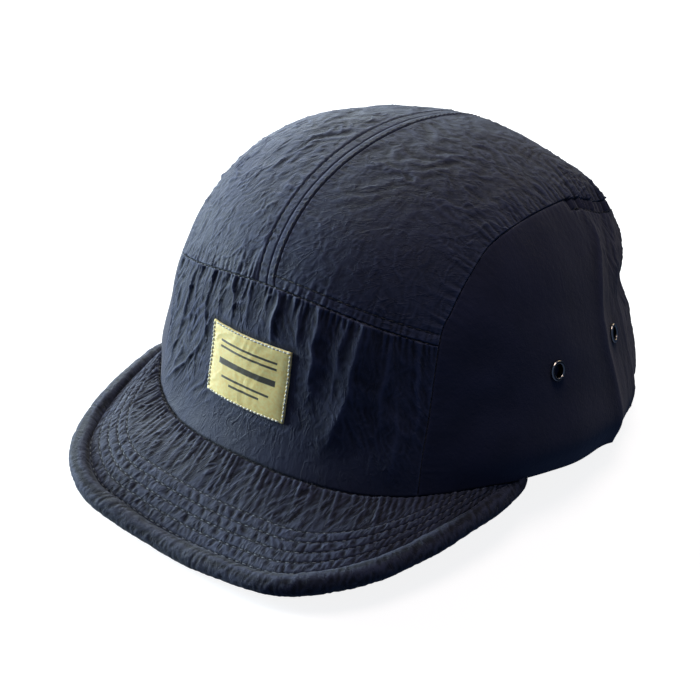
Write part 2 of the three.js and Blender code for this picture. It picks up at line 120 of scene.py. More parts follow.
# Woven stripes: height above the label's middle, thickness and width
LABEL_STRIPES = [(7.6, 0.8, 26), (5.4, 0.8, 26), (0.2, 2.2, 26), (-5.0, 0.8, 22), (-7.2, 0.8, 14)]

# Eyelets, as angle and share
EYELETS = {"front": (77, 0.34), "back": (105, 0.35)}
EYELET_HOLE = 2.7

CLOTH_THICKNESS = 0.8
INNER_DEPTH = 1.3
FLOOR_GAP = 0.03


# Smooth curves and noise


def smooth_step(low, high, value):
    x = np.clip((value - low) / (high - low), 0, 1)
    return x * x * (3 - 2 * x)


def bump(distance, width):
    return np.exp(-((distance / width) ** 2))


def unit(vectors):
    return vectors / np.maximum(np.linalg.norm(vectors, axis=-1, keepdims=True), 1e-9)


def spline(values, share, before=None, after=None):
    """A smooth curve through values at equal steps, with the values just outside them."""
    first = 2 * values[0] - values[1] if before is None else before
    final = 2 * values[-1] - values[-2] if after is None else after
    rows = np.array([first, *values, final], float)
    last = len(values) - 1
    place = np.clip(share, 0, 1) * last
    index = np.minimum(np.floor(place).astype(int), last - 1)
    f = place - index
    a, b, c, d = (rows[index + k] for k in range(4))
    square = (2 * a - 5 * b + 4 * c - d) * f * f
    cube = (3 * b - a - 3 * c + d) * f * f * f
    return 0.5 * (2 * b + (c - a) * f + square + cube)


# Large odd numbers that scatter whole numbers at random
SCATTER_X, SCATTER_Y, SCATTER_SEED = 374761393, 668265263, 974711
SCATTER, SCATTER_CHANCE = np.uint64(1274126177), np.uint64(0x9E3779B9)
LOW_BITS = np.uint64(0xFFFFFFFF)


def stirred(number, shift):
    """The low 32 bits of a large whole number, mixed with their own upper bits."""
    low = number & LOW_BITS
    return low ^ (low >> np.uint64(shift))


def noise(x, y, seed):
    """Smooth noise from about -1 to 1 on a grid of unit cells."""
    x, y = np.broadcast_arrays(np.asarray(x, float), np.asarray(y, float))
    cell_x, cell_y = np.floor(x).astype(np.int64), np.floor(y).astype(np.int64)
    fx, fy = x - cell_x, y - cell_y

    def corner(dx, dy):
        mixed = (cell_x + dx) * SCATTER_X + (cell_y + dy) * SCATTER_Y + seed * SCATTER_SEED
        mixed = (mixed & 0xFFFFFFFF).astype(np.uint64)
        turn = stirred((mixed ^ (mixed >> np.uint64(13))) * SCATTER, 16) / 2**32 * 2 * math.pi
        return np.cos(turn) * (fx - dx) + np.sin(turn) * (fy - dy)

    u = fx**3 * (fx * (6 * fx - 15) + 10)
    v = fy**3 * (fy * (6 * fy - 15) + 10)
    low = corner(0, 0) * (1 - u) + corner(1, 0) * u
    high = corner(0, 1) * (1 - u) + corner(1, 1) * u
    return 1.5 * (low * (1 - v) + high * v)


def chance(index, seed):
    """A fixed random number from 0 to 1 for each whole number."""
    mixed = (np.asarray(index).astype(np.int64) * SCATTER_X + seed * SCATTER_Y) & 0xFFFFFFFF
    mixed = stirred((mixed.astype(np.uint64) ^ SCATTER_CHANCE) * SCATTER, 15)
    return (mixed & np.uint64(0xFFFF)) / 0xFFFF


def ridges(x, y, seed, softness=0.06):
    """Noise made of creased ridges, about -0.6 to 0.5."""
    return 0.5 - 1.6 * np.sqrt(noise(x, y, seed) ** 2 + softness**2)


def slanted(s, t, slant):
    """Coordinates turned by a slant to t, in degrees."""
    turn = math.radians(slant)
    return s * math.cos(turn) - t * math.sin(turn), s * math.sin(turn) + t * math.cos(turn)


def wandered(s, t, seed, pitch, length, slant):
    """Coordinates across and along wrinkles that wander about a slant to t."""
    across, along = slanted(s, t, slant)
    shift = noise(across / (3 * pitch), along / (1.2 * length), seed + 1)
    bend = noise(across / (1.3 * pitch), along / (0.6 * length), seed + 2)
    return across + 1.1 * pitch * shift + 0.35 * pitch * bend, along


def crinkle(s, t, seed, pitch, length, slant):
    """Creased wrinkles about pitch apart and length long, which run along t, in mm."""
    across, along = wandered(s, t, seed, pitch, length, slant)
    return ridges(across / pitch, along / length, seed)


def creases(s, t, seed, pitch, length, slant, thin):
    """Thin raised creases on flat cloth, from 0 to 1."""
    across, along = wandered(s, t, seed, pitch, length, slant)
    line = bump(noise(across / pitch, along / length, seed), thin)
    return line * smooth_step(-0.1, 0.35, noise(s / (1.6 * pitch), t / (1.1 * length), seed + 3))


def wrinkles(s, t, mask, seed, rows):
    """Wrinkles whose height goes from low to high with a mask. A row holds low, high, what
    is added to the seed, pitch, length, slant, and how thin a crease is, or 0 for crinkles."""
    total = 0 * s
    for low, high, step, pitch, length, slant, thin in rows:
        kind = partial(creases, thin=thin) if thin else crinkle
        total += (low + (high - low) * mask) * kind(s, t, seed + step, pitch, length, slant)
    return total


# Crown surface


def squarer(value):
    return np.sign(value) * np.abs(value) ** PLAN_POWER


def even_crown(angle, share):
    """The crown's outer face without its swells, in mm, in the row's frame."""
    angle, share = np.broadcast_arrays(np.asarray(angle, float), np.asarray(share, float))
    turn = np.radians(angle)
    ahead, aside = squarer(np.cos(turn)), squarer(np.sin(turn))
    lift = spline(PROFILE_LIFT, share, None, PROFILE_LIFT[-2])
    profiles = PROFILE_FRONT, PROFILE_SIDE, PROFILE_BACK
    front, flank, back = (spline(row, share, None, -row[-2]) for row in profiles)
    sideways = np.sin(turn) ** 2
    reach = sideways * flank + (1 - sideways) * np.where(ahead > 0, front, back)
    for dent_angle, dent_lift, width, tall, depth in DENTS:
        around = bump(np.abs(angle) - dent_angle, width)
        reach += depth / DENT_REACH * around * bump(lift - dent_lift, tall)
    rim = np.maximum(spline(RIM_HEIGHTS, np.abs(angle) / 180, RIM_HEIGHTS[1], RIM_HEIGHTS[-2]), 0)
    forward = np.where(ahead > 0, CROWN_FRONT_REACH, CROWN_BACK_REACH)
    shift = TOP_SHIFT_FORWARD * np.maximum(lift, 0) ** TOP_SHIFT_POWER
    x = CROWN_HALF_WIDTH * aside * reach
    y = RIM_MIDDLE_Y - forward * ahead * reach - shift
    return np.stack([x, y, rim + lift * (CROWN_HEIGHT - rim)], -1)


def swell_places():
    """Each swell's middle on the crown, its push outwards and its width."""
    places = []
    for angle, share, width, height in SWELLS:
        across = even_crown(angle + 0.5, share) - even_crown(angle - 0.5, share)
        up = even_crown(angle, share + 0.005) - even_crown(angle, share - 0.005)
        places.append((even_crown(angle, share), height * unit(np.cross(across, up)), width))
    return places


SWELL_PLACES = swell_places()


def crown_point(angle, share):
    """The place on the crown's outer face, in mm, in the row's frame."""
    point = even_crown(angle, share)
    for place, push, width in SWELL_PLACES:
        away = np.linalg.norm(point - place, axis=-1)
        point = point + bump(away, width)[..., None] * push
    return point


def disc_point(angle, share):
    """The crown laid out as a disc, whose edge is the rim."""
    turn = np.radians(np.asarray(angle, float))
    share = np.asarray(share, float)
    return np.stack([np.sin(turn) * (1 - share), -np.cos(turn) * (1 - share)], -1)


def disc_place(disc):
    angle = np.degrees(np.arctan2(disc[..., 0], -disc[..., 1]))
    return angle, 1 - np.hypot(disc[..., 0], disc[..., 1])


def on_crown(disc):
    return crown_point(*disc_place(disc))


NORMAL_STEP = 0.004


def crown_normal(disc):
    length = np.hypot(disc[..., 0], disc[..., 1])
    inside = disc * (np.minimum(length, 1 - NORMAL_STEP) / np.maximum(length, 1e-9))[..., None]
    across, up = (
        on_crown(inside + step) - on_crown(inside - step)
        for step in NORMAL_STEP * np.eye(2)
    )
    return unit(np.cross(across, up))


# Seam curves on the disc


def front_seam_share(angle):
    aside = np.sin(np.radians(angle)) ** 2
    return FRONT_SEAM_MIDDLE + (FRONT_SEAM_SIDE - FRONT_SEAM_MIDDLE) * aside


def side_seam(side, from_row, to_row):
    def at(share):
        place = (from_row + (to_row - from_row) * np.asarray(share, float)) / SEAM_LAST_ROW
        return disc_point(side * spline(SIDE_SEAM_ANGLE, place), spline(SIDE_SEAM_SHARE, place))

    return at


def rim_stretch(from_angle, to_angle):
    return lambda share: disc_point(from_angle + (to_angle - from_angle) * share, 0 * share)


def front_seam(from_angle, to_angle):
    def at(share):
        angle = from_angle + (to_angle - from_angle) * share
        return disc_point(angle, front_seam_share(angle))

    return at


def back_seam(share):
    """The seam down the middle of the back, from the rim up."""
    return np.stack([0 * share, 1 + (REAR_Y - 1) * share], -1)


def centre_seam(share):
    foot = disc_point(CENTRE_FOOT, front_seam_share(CENTRE_FOOT))
    share = np.asarray(share, float)
    y = foot[1] + (REAR_Y - foot[1]) * share
    x = foot[0] * (1 - share) + CENTRE_DRIFT * np.sin(math.pi * np.sqrt(share))
    return np.stack([x * smooth_step(0, 0.3, -y), y], -1)


def lengths(points):
    """The length along a line of points, up to each of them."""
    steps = np.linalg.norm(np.diff(points, axis=0), axis=1)
    return np.concatenate([[0], np.cumsum(steps)])


def seam_line(curve, count=900):
    """A seam as points in mm, with the length along it at each point."""
    points = on_crown(curve(np.linspace(0, 1, count)))
    return points, lengths(points)


def from_seam(points, line):
    """For each point its distance from a seam and its place along it, in mm."""
    seam, along = line
    tree = KDTree(len(seam))
    for i, p in enumerate(seam):
        tree.insert(p, i)
    tree.balance()
    found = [tree.find(p)[1:] for p in points.reshape(-1, 3)]
    index, distance = (np.array(part).reshape(points.shape[:-1]) for part in zip(*found))
    return distance, along[index]


FRONT_CURVE = front_seam(-JUNCTION, JUNCTION)
FRONT_LINE = seam_line(FRONT_CURVE)
CENTRE_LINE = seam_line(centre_seam, 1200)
BACK_LINE = seam_line(back_seam)
SIDE_LINES = {side: seam_line(side_seam(side, 0, SEAM_LAST_ROW), 1600) for side in (-1, 1)}
RIM_LINE = seam_line(rim_stretch(-180, 180), 2400)


def along_centre(angle, share):
    """The place along the centre seam that is level with each point, in mm."""
    along = CENTRE_LINE[1]
    seam_y = centre_seam(np.linspace(0, 1, len(along)))[:, 1]
    return np.interp(disc_point(angle, share)[..., 1], seam_y, along)


# Grids between seams


def spaced(count, near, far, near_speed, far_speed):
    """Shares from 0 to 1, with lines at set distances in mm from both ends."""
    near = np.asarray(near)[:, None] / near_speed
    far = 1 - np.asarray(far)[::-1, None] / far_speed
    rest = count + 1 - len(near) - len(far)
    t = (np.arange(rest) + 1)[:, None] / (rest + 1)
    return np.concatenate([near, near[-1:] + (far[:1] - near[-1:]) * t, far])


def coons(edges, u, v):
    """Disc points between four edges at shares u across and v up."""
    u, v = np.broadcast_arrays(u, v)
    a, b = u[..., None], v[..., None]
    sides = edges["start"](v) * (1 - a) + edges["end"](v) * a
    ends = edges["bottom"](u) * (1 - b) + edges["top"](u) * b
    zero, one = np.zeros(1), np.ones(1)
    corners = edges["bottom"](zero) * (1 - a) * (1 - b) + edges["bottom"](one) * a * (1 - b)
    return sides + ends - corners - edges["top"](zero) * (1 - a) * b - edges["top"](one) * a * b


SPEED_STEP = 0.01
SEAM_STEPS = [0, 0.12, 0.26, 0.44, 0.68, 1.0, 1.4, 1.9]


def patch(edges, columns, rows, steps):
    """A grid of disc points, columns + 1 by rows + 1, with lines at set mm from its edges."""
    share = np.linspace(0, 1, 41)
    edge, inner = 0 * share, 0 * share + SPEED_STEP
    pairs = {
        "start": ((edge, share), (inner, share)), "end": ((1 - edge, share), (1 - inner, share)),
        "bottom": ((share, edge), (share, inner)), "top": ((share, 1 - edge), (share, 1 - inner)),
    }
    speeds = {}
    for name, (outer, deeper) in pairs.items():
        move = on_crown(coons(edges, *deeper)) - on_crown(coons(edges, *outer))
        speeds[name] = np.linalg.norm(move, axis=-1) / SPEED_STEP

    def speed(name, place):
        return np.interp(place, share, speeds[name])

    lines = {name: steps.get(name, SEAM_STEPS) for name in pairs}
    u = np.linspace(0, 1, columns + 1)[:, None] + np.zeros((1, rows + 1))
    v = np.linspace(0, 1, rows + 1)[None, :] + np.zeros((columns + 1, 1))
    for _ in range(3):
        sides = speed("start", v[0]), speed("end", v[-1])
        ends = speed("bottom", u[:, 0]), speed("top", u[:, -1])
        u = spaced(columns, lines["start"], lines["end"], *sides)
        v = spaced(rows, lines["bottom"], lines["top"], *ends).T
    return coons(edges, u, v)


# Meshes


def add_piece(name, points, faces, material, slot, replaces=(), uv=None, crest=()):
    mesh = bpy.data.meshes.new(name)
    mesh.from_pydata((np.asarray(points) * MM).tolist(), [], faces)
    mesh.update()
    mesh.polygons.foreach_set("use_smooth", [True] * len(mesh.polygons))
    mesh.materials.append(material)
    if uv is not None:
        corners = np.zeros(len(mesh.loops), int)
        mesh.loops.foreach_get("vertex_index", corners)
        mesh.uv_layers.new(name="cloth").data.foreach_set("uv", np.asarray(uv)[corners].ravel())
    # The crest values paint shade and highlight into the piece's colour
    if len(crest):
        values = np.zeros(len(mesh.vertices))
        values[:len(crest)] = crest
        mesh.attributes.new("crest", "FLOAT", "POINT").data.foreach_set("value", values)
    piece = bpy.data.objects.new(name, mesh)
    bpy.context.scene.collection.objects.link(piece)
    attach(piece, "root")
    if replaces:
        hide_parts(*replaces)
    return piece


def grid_faces(columns, rows, wraps=False, flip=False):
    """Faces of a grid whose points run row by row within each column."""
    tall = rows + 1
    count = columns + (0 if wraps else 1)
    faces = []
    for column in range(columns):
        here, there = column * tall, ((column + 1) % count) * tall
        for row in range(rows):
            face = (here + row, there + row, there + row + 1, here + row + 1)
            faces.append(face[::-1] if flip else face)
    return faces


def tube_faces(rings, sides, first=0):
    """Faces of a tube of rings of points, closed at both ends."""
    faces = []
    for here in range(first, first + (rings - 1) * sides, sides):
        for i in range(sides):
            a, b = here + i, here + (i + 1) % sides
            faces.append((a, b, b + sides, a + sides))
    final = first + (rings - 1) * sides
    return faces + [tuple(range(first, first + sides))[::-1], tuple(range(final, final + sides))]


def thicken(piece, thickness):
    solidify = piece.modifiers.new("cloth", "SOLIDIFY")
    solidify.thickness = thickness * MM
    solidify.offset = -1
    solidify.use_even_offset = False


def open_holes(points, faces, centres):
    """Round holes in a mesh: points inside one go to its edge, and its own faces go."""
    for centre in centres:
        away = points - centre
        distance = np.linalg.norm(away, axis=1)
        inside = distance < EYELET_HOLE
        faces = [face for face in faces if not inside[list(face)].all()]
        points[inside] = centre + away[inside] * (EYELET_HOLE / distance[inside])[:, None]
    return faces


INNER_STEP = 3


def borders(index):
    """The four edges of a grid of point numbers, each in the direction that its faces need."""
    return [edge.tolist() for edge in (index[::-1, 0], index[:, -1], index[0], index[-1, ::-1])]


def two_layers(outer, inner, flip, holes=()):
    """A fine outer grid and a coarser inner one, joined along their edges."""
    inner = inner[::INNER_STEP, ::INNER_STEP]
    layers, faces, edges, first = [], [], [], 0
    for grid, turned in ((outer, flip), (inner, not flip)):
        columns, rows = grid.shape[0] - 1, grid.shape[1] - 1
        points = grid.reshape(-1, 3).copy()
        own = open_holes(points, grid_faces(columns, rows, flip=turned), holes)
        faces += [tuple(first + i for i in face) for face in own]
        edges.append(borders(first + np.arange(len(points)).reshape(grid.shape[:2])))
        layers.append(points)
        first += len(points)
    for outside, inside in zip(*edges):
        for k in range(len(inside) - 1):
            run = outside[k * INNER_STEP:(k + 1) * INNER_STEP + 1]
            face = (*run, inside[k + 1], inside[k])
            faces.append(face[::-1] if flip else face)
    return np.concatenate(layers), faces


def layer_uv(s, t, slant):
    """Texture coordinates in mm for both layers, turned by a slant."""
    uv = np.stack(slanted(s, t, slant), -1)
    return np.concatenate([uv.reshape(-1, 2), uv[::INNER_STEP, ::INNER_STEP].reshape(-1, 2)])


# Materials


class Look:
    """A material made of nodes around one main shader."""

    def __init__(self, name, base, roughness, **numbers):
        self.material = bpy.data.materials.new(name)
        self.material.use_nodes = True
        self.tree = self.material.node_tree
        self.shader = self.tree.nodes["Principled BSDF"]
        self.finish({"Base Color": (*base, 1), "Roughness": roughness})
        self.finish({name.replace("_", " "): number for name, number in numbers.items()})

    def fill(self, node, inputs):
        """Sets a node's inputs, or links them where they are other nodes' outputs."""
        for name, value in inputs.items():
            if isinstance(value, bpy.types.NodeSocket):
                self.tree.links.new(value, node.inputs[name])
            else:
                node.inputs[name].default_value = value

    def finish(self, inputs):
        self.fill(self.shader, inputs)

    def node(self, kind, output, inputs, **settings):
        node = self.tree.nodes.new("ShaderNode" + kind)
        for name, value in settings.items():
            setattr(node, name, value)
        self.fill(node, inputs)
        return node.outputs[output]

    def place(self, kind="Object"):
        return self.node("TexCoord", kind, {})

    # The crest attribute, which paints shade and highlight into a colour
    def crest(self):
        return self.node("Attribute", "Fac", {}, attribute_name="crest")

    def math(self, operation, first, second=0):
        return self.node("Math", 0, {0: first, 1: second}, operation=operation)

    def mapped(self, value, low, high, to_low, to_high, kind="SMOOTHSTEP"):
        inputs = {"From Min": low, "From Max": high, "To Min": to_low, "To Max": to_high}
        return self.node("MapRange", "Result", {"Value": value, **inputs}, interpolation_type=kind)

    def noise(self, place, scale, detail=2, distortion=0, **settings):
        inputs = {"Vector": place, "Scale": scale, "Detail": detail, "Distortion": distortion}
        return self.node("TexNoise", "Fac", inputs, **settings)

    def ramp(self, value, *stops):
        """A colour between two, each given after the value at which it stands."""
        output = self.node("ValToRGB", "Color", {"Fac": value})
        for element, (place, color) in zip(output.node.color_ramp.elements, stops):
            element.position = place
            element.color = (*color, 1)
        return output

    def mix(self, share, first, second):
        inputs = {"Factor": share, "A": first, "B": second}
        return self.node("Mix", "Result", inputs, data_type="RGBA")

    def relief(self, height, strength, distance):
        inputs = {"Height": height, "Strength": strength, "Distance": distance}
        self.finish({"Normal": self.node("Bump", "Normal", inputs)})


def stroke_height(look, place, pitch, length, turn, thin, cover):
    """Thin creases about pitch apart and length long in mm, as a height from 0 to 1."""
    inputs = {"Scale": (pitch, length, 1), "Rotation": (0, 0, math.radians(turn)), "Vector": place}
    laid = look.node("Mapping", "Vector", inputs, vector_type="TEXTURE")
    lines = look.noise(laid, 1, 2, 0.5, noise_dimensions="2D")
    areas = look.noise(laid, 0.55, 1, noise_dimensions="2D")
    line = look.mapped(look.math("ABSOLUTE", look.math("SUBTRACT", lines, 0.5)), 0, thin, 1, 0)
    return look.math("MULTIPLY", line, look.mapped(areas, cover, cover + 0.12, 0, 1))


# Creases in the cloth: pitch, length, turn, thinness, cover and height
NYLON_STROKES = [
    (3.4, 13, 6, 0.05, 0.48, 0.5), (1.7, 5, -14, 0.06, 0.47, 0.36), (4.5, 9, 38, 0.035, 0.52, 0.25),
    (1.0, 8, 3, 0.1, 0.45, 0.16),
]
SIDE_STROKES = [(3.4, 13, 6, 0.05, 0.52, 0.09), (4.5, 9, 38, 0.035, 0.54, 0.1)]
PEAK_STROKES = [(2.4, 12, 0, 0.06, 0.44, 0.9), (1.4, 5, 8, 0.07, 0.44, 0.6)]
EDGE_STROKES = [(1.3, 6, 5, 0.07, 0.42, 0.5)]
TAPE_STROKES = [(2.0, 3, 0, 0.05, 0.5, 0.2)]
# Painted shade and highlight: how far the cloth's colour is darkened in its creases, where shade falls, and
# lightened on their crests
PAINTED_SHADE_AND_HIGHLIGHT = (0.4, 1.55)
TOP_PAINTED_SHADE_AND_HIGHLIGHT = (0.5, 1.42)
SIDE_PAINTED_SHADE_AND_HIGHLIGHT = (0.72, 1.2)


def nylon(name, base, roughness, grain, strokes, shade_and_highlight=PAINTED_SHADE_AND_HIGHLIGHT):
    """Thin washed nylon: a tight weave with thin creases and a fine grain."""
    look = Look(name, base, roughness, Specular_IOR_Level=0.16, Sheen_Weight=0.12, Sheen_Roughness=0.5)
    place, laid = look.place(), look.place("UV")
    patchy = look.noise(place, 70, 5)
    tint = look.ramp(patchy, (0.3, [0.84 * c for c in base]), (0.72, [1.16 * c for c in base]))
    # Painted shade and highlight: the colour is darkened in the relief's creases and lightened on its
    # crests
    shade = {0: tint, "Scale": look.mapped(look.crest(), -1, 1, *shade_and_highlight)}
    look.finish({
        "Base Color": look.node("VectorMath", "Vector", shade, operation="SCALE"),
        "Roughness": look.mapped(patchy, 0.25, 0.75, roughness - 0.07, roughness + 0.08),
    })
    heights = [(look.noise(place, 1300, 3, 0.6), grain), (look.noise(place, 420, 2, 0.4), 1.6 * grain)]
    heights += [(stroke_height(look, laid, *row), tall) for *row, tall in strokes]
    heights.append((look.node("TexVoronoi", "Distance", {"Vector": place, "Scale": 2600}), 0.12))
    total = 0
    for height, weight in heights:
        total = look.math("ADD", look.math("MULTIPLY", height, weight), total)
    look.relief(total, 1, 0.00028)
    return look.material


def thread(name, base):
    look = Look(name, base, 0.45)
    inputs = {"Vector": look.place(), "Scale": 900}
    twist = look.node("TexWave", "Fac", inputs, wave_type="BANDS", bands_direction="DIAGONAL")
    look.relief(twist, 0.4, 0.0002)
    return look.material


def satin():
    """Golden satin weave with plain dark woven stripes."""
    look = Look("label_satin", (0.46, 0.41, 0.20), 0.42, Sheen_Weight=0.6, Sheen_Roughness=0.4)
    look.finish({"Sheen Tint": (1, 0.88, 0.55, 1)})
    place = look.place()
    x, z = (look.node("SeparateXYZ", axis, {"Vector": place}) for axis in "XZ")

    def within(value, middle, size):
        away = look.math("ABSOLUTE", look.math("SUBTRACT", value, middle * MM))
        return look.math("LESS_THAN", away, size / 2 * MM)

    dark = 0
    for height, thick, wide in LABEL_STRIPES:
        in_z, in_x = within(z, LABEL_MIDDLE_Z + height, thick), within(x, LABEL_MIDDLE_X, wide)
        dark = look.math("ADD", look.math("MULTIPLY", in_z, in_x), dark)
    gold = look.ramp(look.noise(place, 900), (0.3, (0.97, 0.7, 0.22)), (0.7, (1.0, 0.85, 0.35)))
    look.finish({"Base Color": look.mix(dark, gold, (0.03, 0.026, 0.02, 1))})
    weft = {"Vector": place, "Scale": 900, "Distortion": 1.5}
    look.relief(look.node("TexWave", "Fac", weft, bands_direction="Z"), 0.35, 0.0002)
    return look.material


def enamel():
    """Glossy black coat over metal, with bright metal as painted highlight rings where the crest attribute
    says.
    """
    # Black coat, and bright metal for the painted highlight rings
    black, highlight_metal = (0.02, 0.018, 0.016), (0.62, 0.58, 0.54, 1)
    look = Look("eyelet_metal", black, 0.22, Metallic=1)
    scuffs = look.mapped(look.noise(look.place(), 900), 0, 1, 0.14, 0.32, "LINEAR")
    look.finish({"Roughness": scuffs, "Base Color": look.mix(look.crest(), (*black, 1), highlight_metal)})
    return look.material


SHELL = nylon("shell_nylon", (0.028, 0.033, 0.062), 0.68, 0.5, NYLON_STROKES)
# The top panels' copy of the shell nylon, made lighter as painted light
TOP_LIT_NYLON = nylon("top_nylon_lit", (0.033, 0.039, 0.071), 0.68, 0.5, NYLON_STROKES, TOP_PAINTED_SHADE_AND_HIGHLIGHT)
# The side panels' copy of the shell nylon, made darker as painted shade
SIDE_SHADED_NYLON = nylon("side_nylon_shaded", (0.022, 0.024, 0.049), 0.7, 0.4, SIDE_STROKES, SIDE_PAINTED_SHADE_AND_HIGHLIGHT)
PEAK = nylon("peak_nylon", (0.028, 0.033, 0.058), 0.7, 0.5, PEAK_STROKES)
EDGE = nylon("edge_nylon", (0.026, 0.030, 0.052), 0.7, 0.6, EDGE_STROKES)
TAPE = nylon("sweatband_tape", (0.05, 0.055, 0.07), 0.75, 0.3, TAPE_STROKES)
# Near-black thread: real stitching, darkened as painted shade of the seam grooves it lies in
DARK_THREAD_AND_SEAM_SHADE = thread("shell_thread_and_seam_shade", (0.011, 0.012, 0.018))
PEAK_THREAD = thread("peak_thread", (0.15, 0.165, 0.2))
LABEL_THREAD = thread("label_thread", (0.9, 0.87, 0.72))


# Relief of the crown's panels

# How far a crest stands out at most, and how many points wide its surroundings are each way
CREST_HEIGHT, CREST_ROUNDS = 0.14, 6
SEAM_DEPTH, SEAM_WIDTH = 0.6, 0.2


def groove(distance, depth, width):
    return -depth * bump(distance, width)


class Tucks(NamedTuple):
    """Tucks along a seam, about pitch apart, which fade over about reach, in mm."""

    seed: int
    pitch: float
    reach: float
    height: float


FADE_POWER = 1.3


def gathers(place, tucks, seed, wander_size, wander_pitch):
    """At each place the number of its tuck, the share across it, its height and its reach."""
    wander = noise(place / (wander_pitch * tucks.pitch), 0.37 + 0 * place, seed)
    phase = place / tucks.pitch + wander_size * wander
    index = np.floor(phase)
    far = tucks.reach * (0.4 + 1.3 * chance(index, seed + 1))
    return index, phase - index, tucks.height * chance(index, seed), far


def ruffles(distance, along, tucks, seed):
    """Tucks as the round waves of a hem that elastic gathers."""
    _, share, tall, far = gathers(along, tucks, tucks.seed + seed, 0.9, 3.1)
    tall = 0.35 * tucks.height + 0.9 * tall
    return tall * np.sin(math.pi * share) ** 1.5 * np.exp(-((distance / far) ** FADE_POWER))


def puckers(distance, along, tucks, lean=0.0, seed=0):
    """Tucks with creased crests that start at a seam and lean along it."""
    seed += tucks.seed
    index, share, tall, far = gathers(along + lean * distance, tucks, seed, 0.5, 2.6)
    tall = 0.3 * tucks.height + tall
    crest = 0.3 + 0.4 * chance(index, seed + 2)
    fade = np.exp(-((distance / far) ** FADE_POWER)) * smooth_step(0, 0.4, distance)
    sharp = 0.7 + 0.6 * smooth_step(0, 4, distance)
    return tall * np.minimum(share / crest, (1 - share) / (1 - crest)) ** sharp * fade


def close_to_seams(relief, *distances):
    """Cloth that sinks into its seams, to one depth on both sides of each."""
    nearest = np.minimum.reduce(distances)
    return relief * smooth_step(0, 0.55, nearest) + groove(nearest, SEAM_DEPTH, SEAM_WIDTH)


def seam_tucks(distance, along):
    """Small tucks across a seam, the same on both sides of it."""
    return 0.5 * ridges(along / 1.5, 0 * along, 77, 0.1) * bump(distance, 0.5)


LABEL_FADE = 3
LABEL_PRESS = 0.25


def label_share(points):
    """1 where the label is sewn down, fading to 0 a little past its edges."""
    past_x = np.abs(points[..., 0] - LABEL_MIDDLE_X) - LABEL_WIDTH / 2
    past_z = np.abs(points[..., 2] - LABEL_MIDDLE_Z) - LABEL_HEIGHT / 2
    return (1 - smooth_step(0, LABEL_FADE, past_x)) * (1 - smooth_step(0, LABEL_FADE, past_z))


# Long folds of the front band: angle at the seam and at the foot, the share of the way down
# from the seam where it starts and ends, its width and height in mm
BAND_FOLD_SCALE = 0.55
BAND_FOLDS = [
    (-42, -45, 0.0, 0.6, 0.7, 0.6),
    (-36.5, -43, 0.0, 0.7, 0.7, 0.7),
    (-29, -39, 0.0, 0.8, 0.8, 1.2),
    (-26, -33, 0.0, 0.5, 0.6, 0.7),
    (-20, -19, 0.0, 0.4, 0.7, 1.1),
    (-10.5, -42, 0.3, 0.9, 0.7, 1.0),
    (-23, -38, 0.45, 0.95, 0.7, 0.6),
    (-15, -18, 0.0, 0.4, 0.7, 0.6),
    (-11, -6, 0.0, 0.3, 0.8, 0.8),
    (-5, -6, 0.0, 0.25, 0.8, 0.6),
    (3, 2, 0.0, 0.35, 1.1, 1.2),
    (10, 9, 0.0, 0.3, 1.2, 0.8),
    (15, 12, 0.0, 0.5, 2.2, 1.3),
    (21.5, 18, 0.0, 0.35, 1.6, 0.8),
    (27, 15, 0.0, 0.85, 4.2, 2.4),
    (33, 27, 0.0, 0.6, 2.6, 1.5),
    (36, 34, 0.3, 0.95, 3.2, 1.5),
    (40, 40, 0.1, 0.6, 1.8, 0.7),
    (-33, -30, 0.45, 0.95, 3.0, 1.0),
]


# Where the band's folds turn broad and its wrinkles busy, in mm to the left of the middle, and
# where its wrinkles grow above the rim
BROAD_ZONE, BUSY_ZONE, RIM_ZONE = (2, 12), (-8, -25), (6, 16)
BAND_TUCKS, LONG_TUCKS = Tucks(3, 2.3, 3.4, 1.0), Tucks(5, 4.3, 10, 0.3)
BAND_SEED = 11


def band_folds(s, t, down):
    """The long folds at places across the band and below its seam, in mm."""
    folds = 0 * s
    for index, (top, foot, start, end, width, height) in enumerate(BAND_FOLDS):
        middle = np.radians(top + (foot - top) * down) * CROWN_FRONT_REACH
        middle += 1.6 * noise(t / 9, 0 * t + 7.7 * index, 40)
        wide = width * (1 + 0.9 * down)
        fade = smooth_step(end, end * 0.45 + start * 0.55, down)
        if start > 0:
            fade *= smooth_step(start - 0.15, start + 0.1, down)
        hollow = 0.4 * smooth_step(1.2, 2.0, width) * bump(s - middle - 1.9 * wide, 1.2 * wide)
        crest = 1.5 * np.exp(-np.abs((s - middle) / wide) ** 1.2) - hollow
        folds += BAND_FOLD_SCALE * height * fade * crest
    return folds


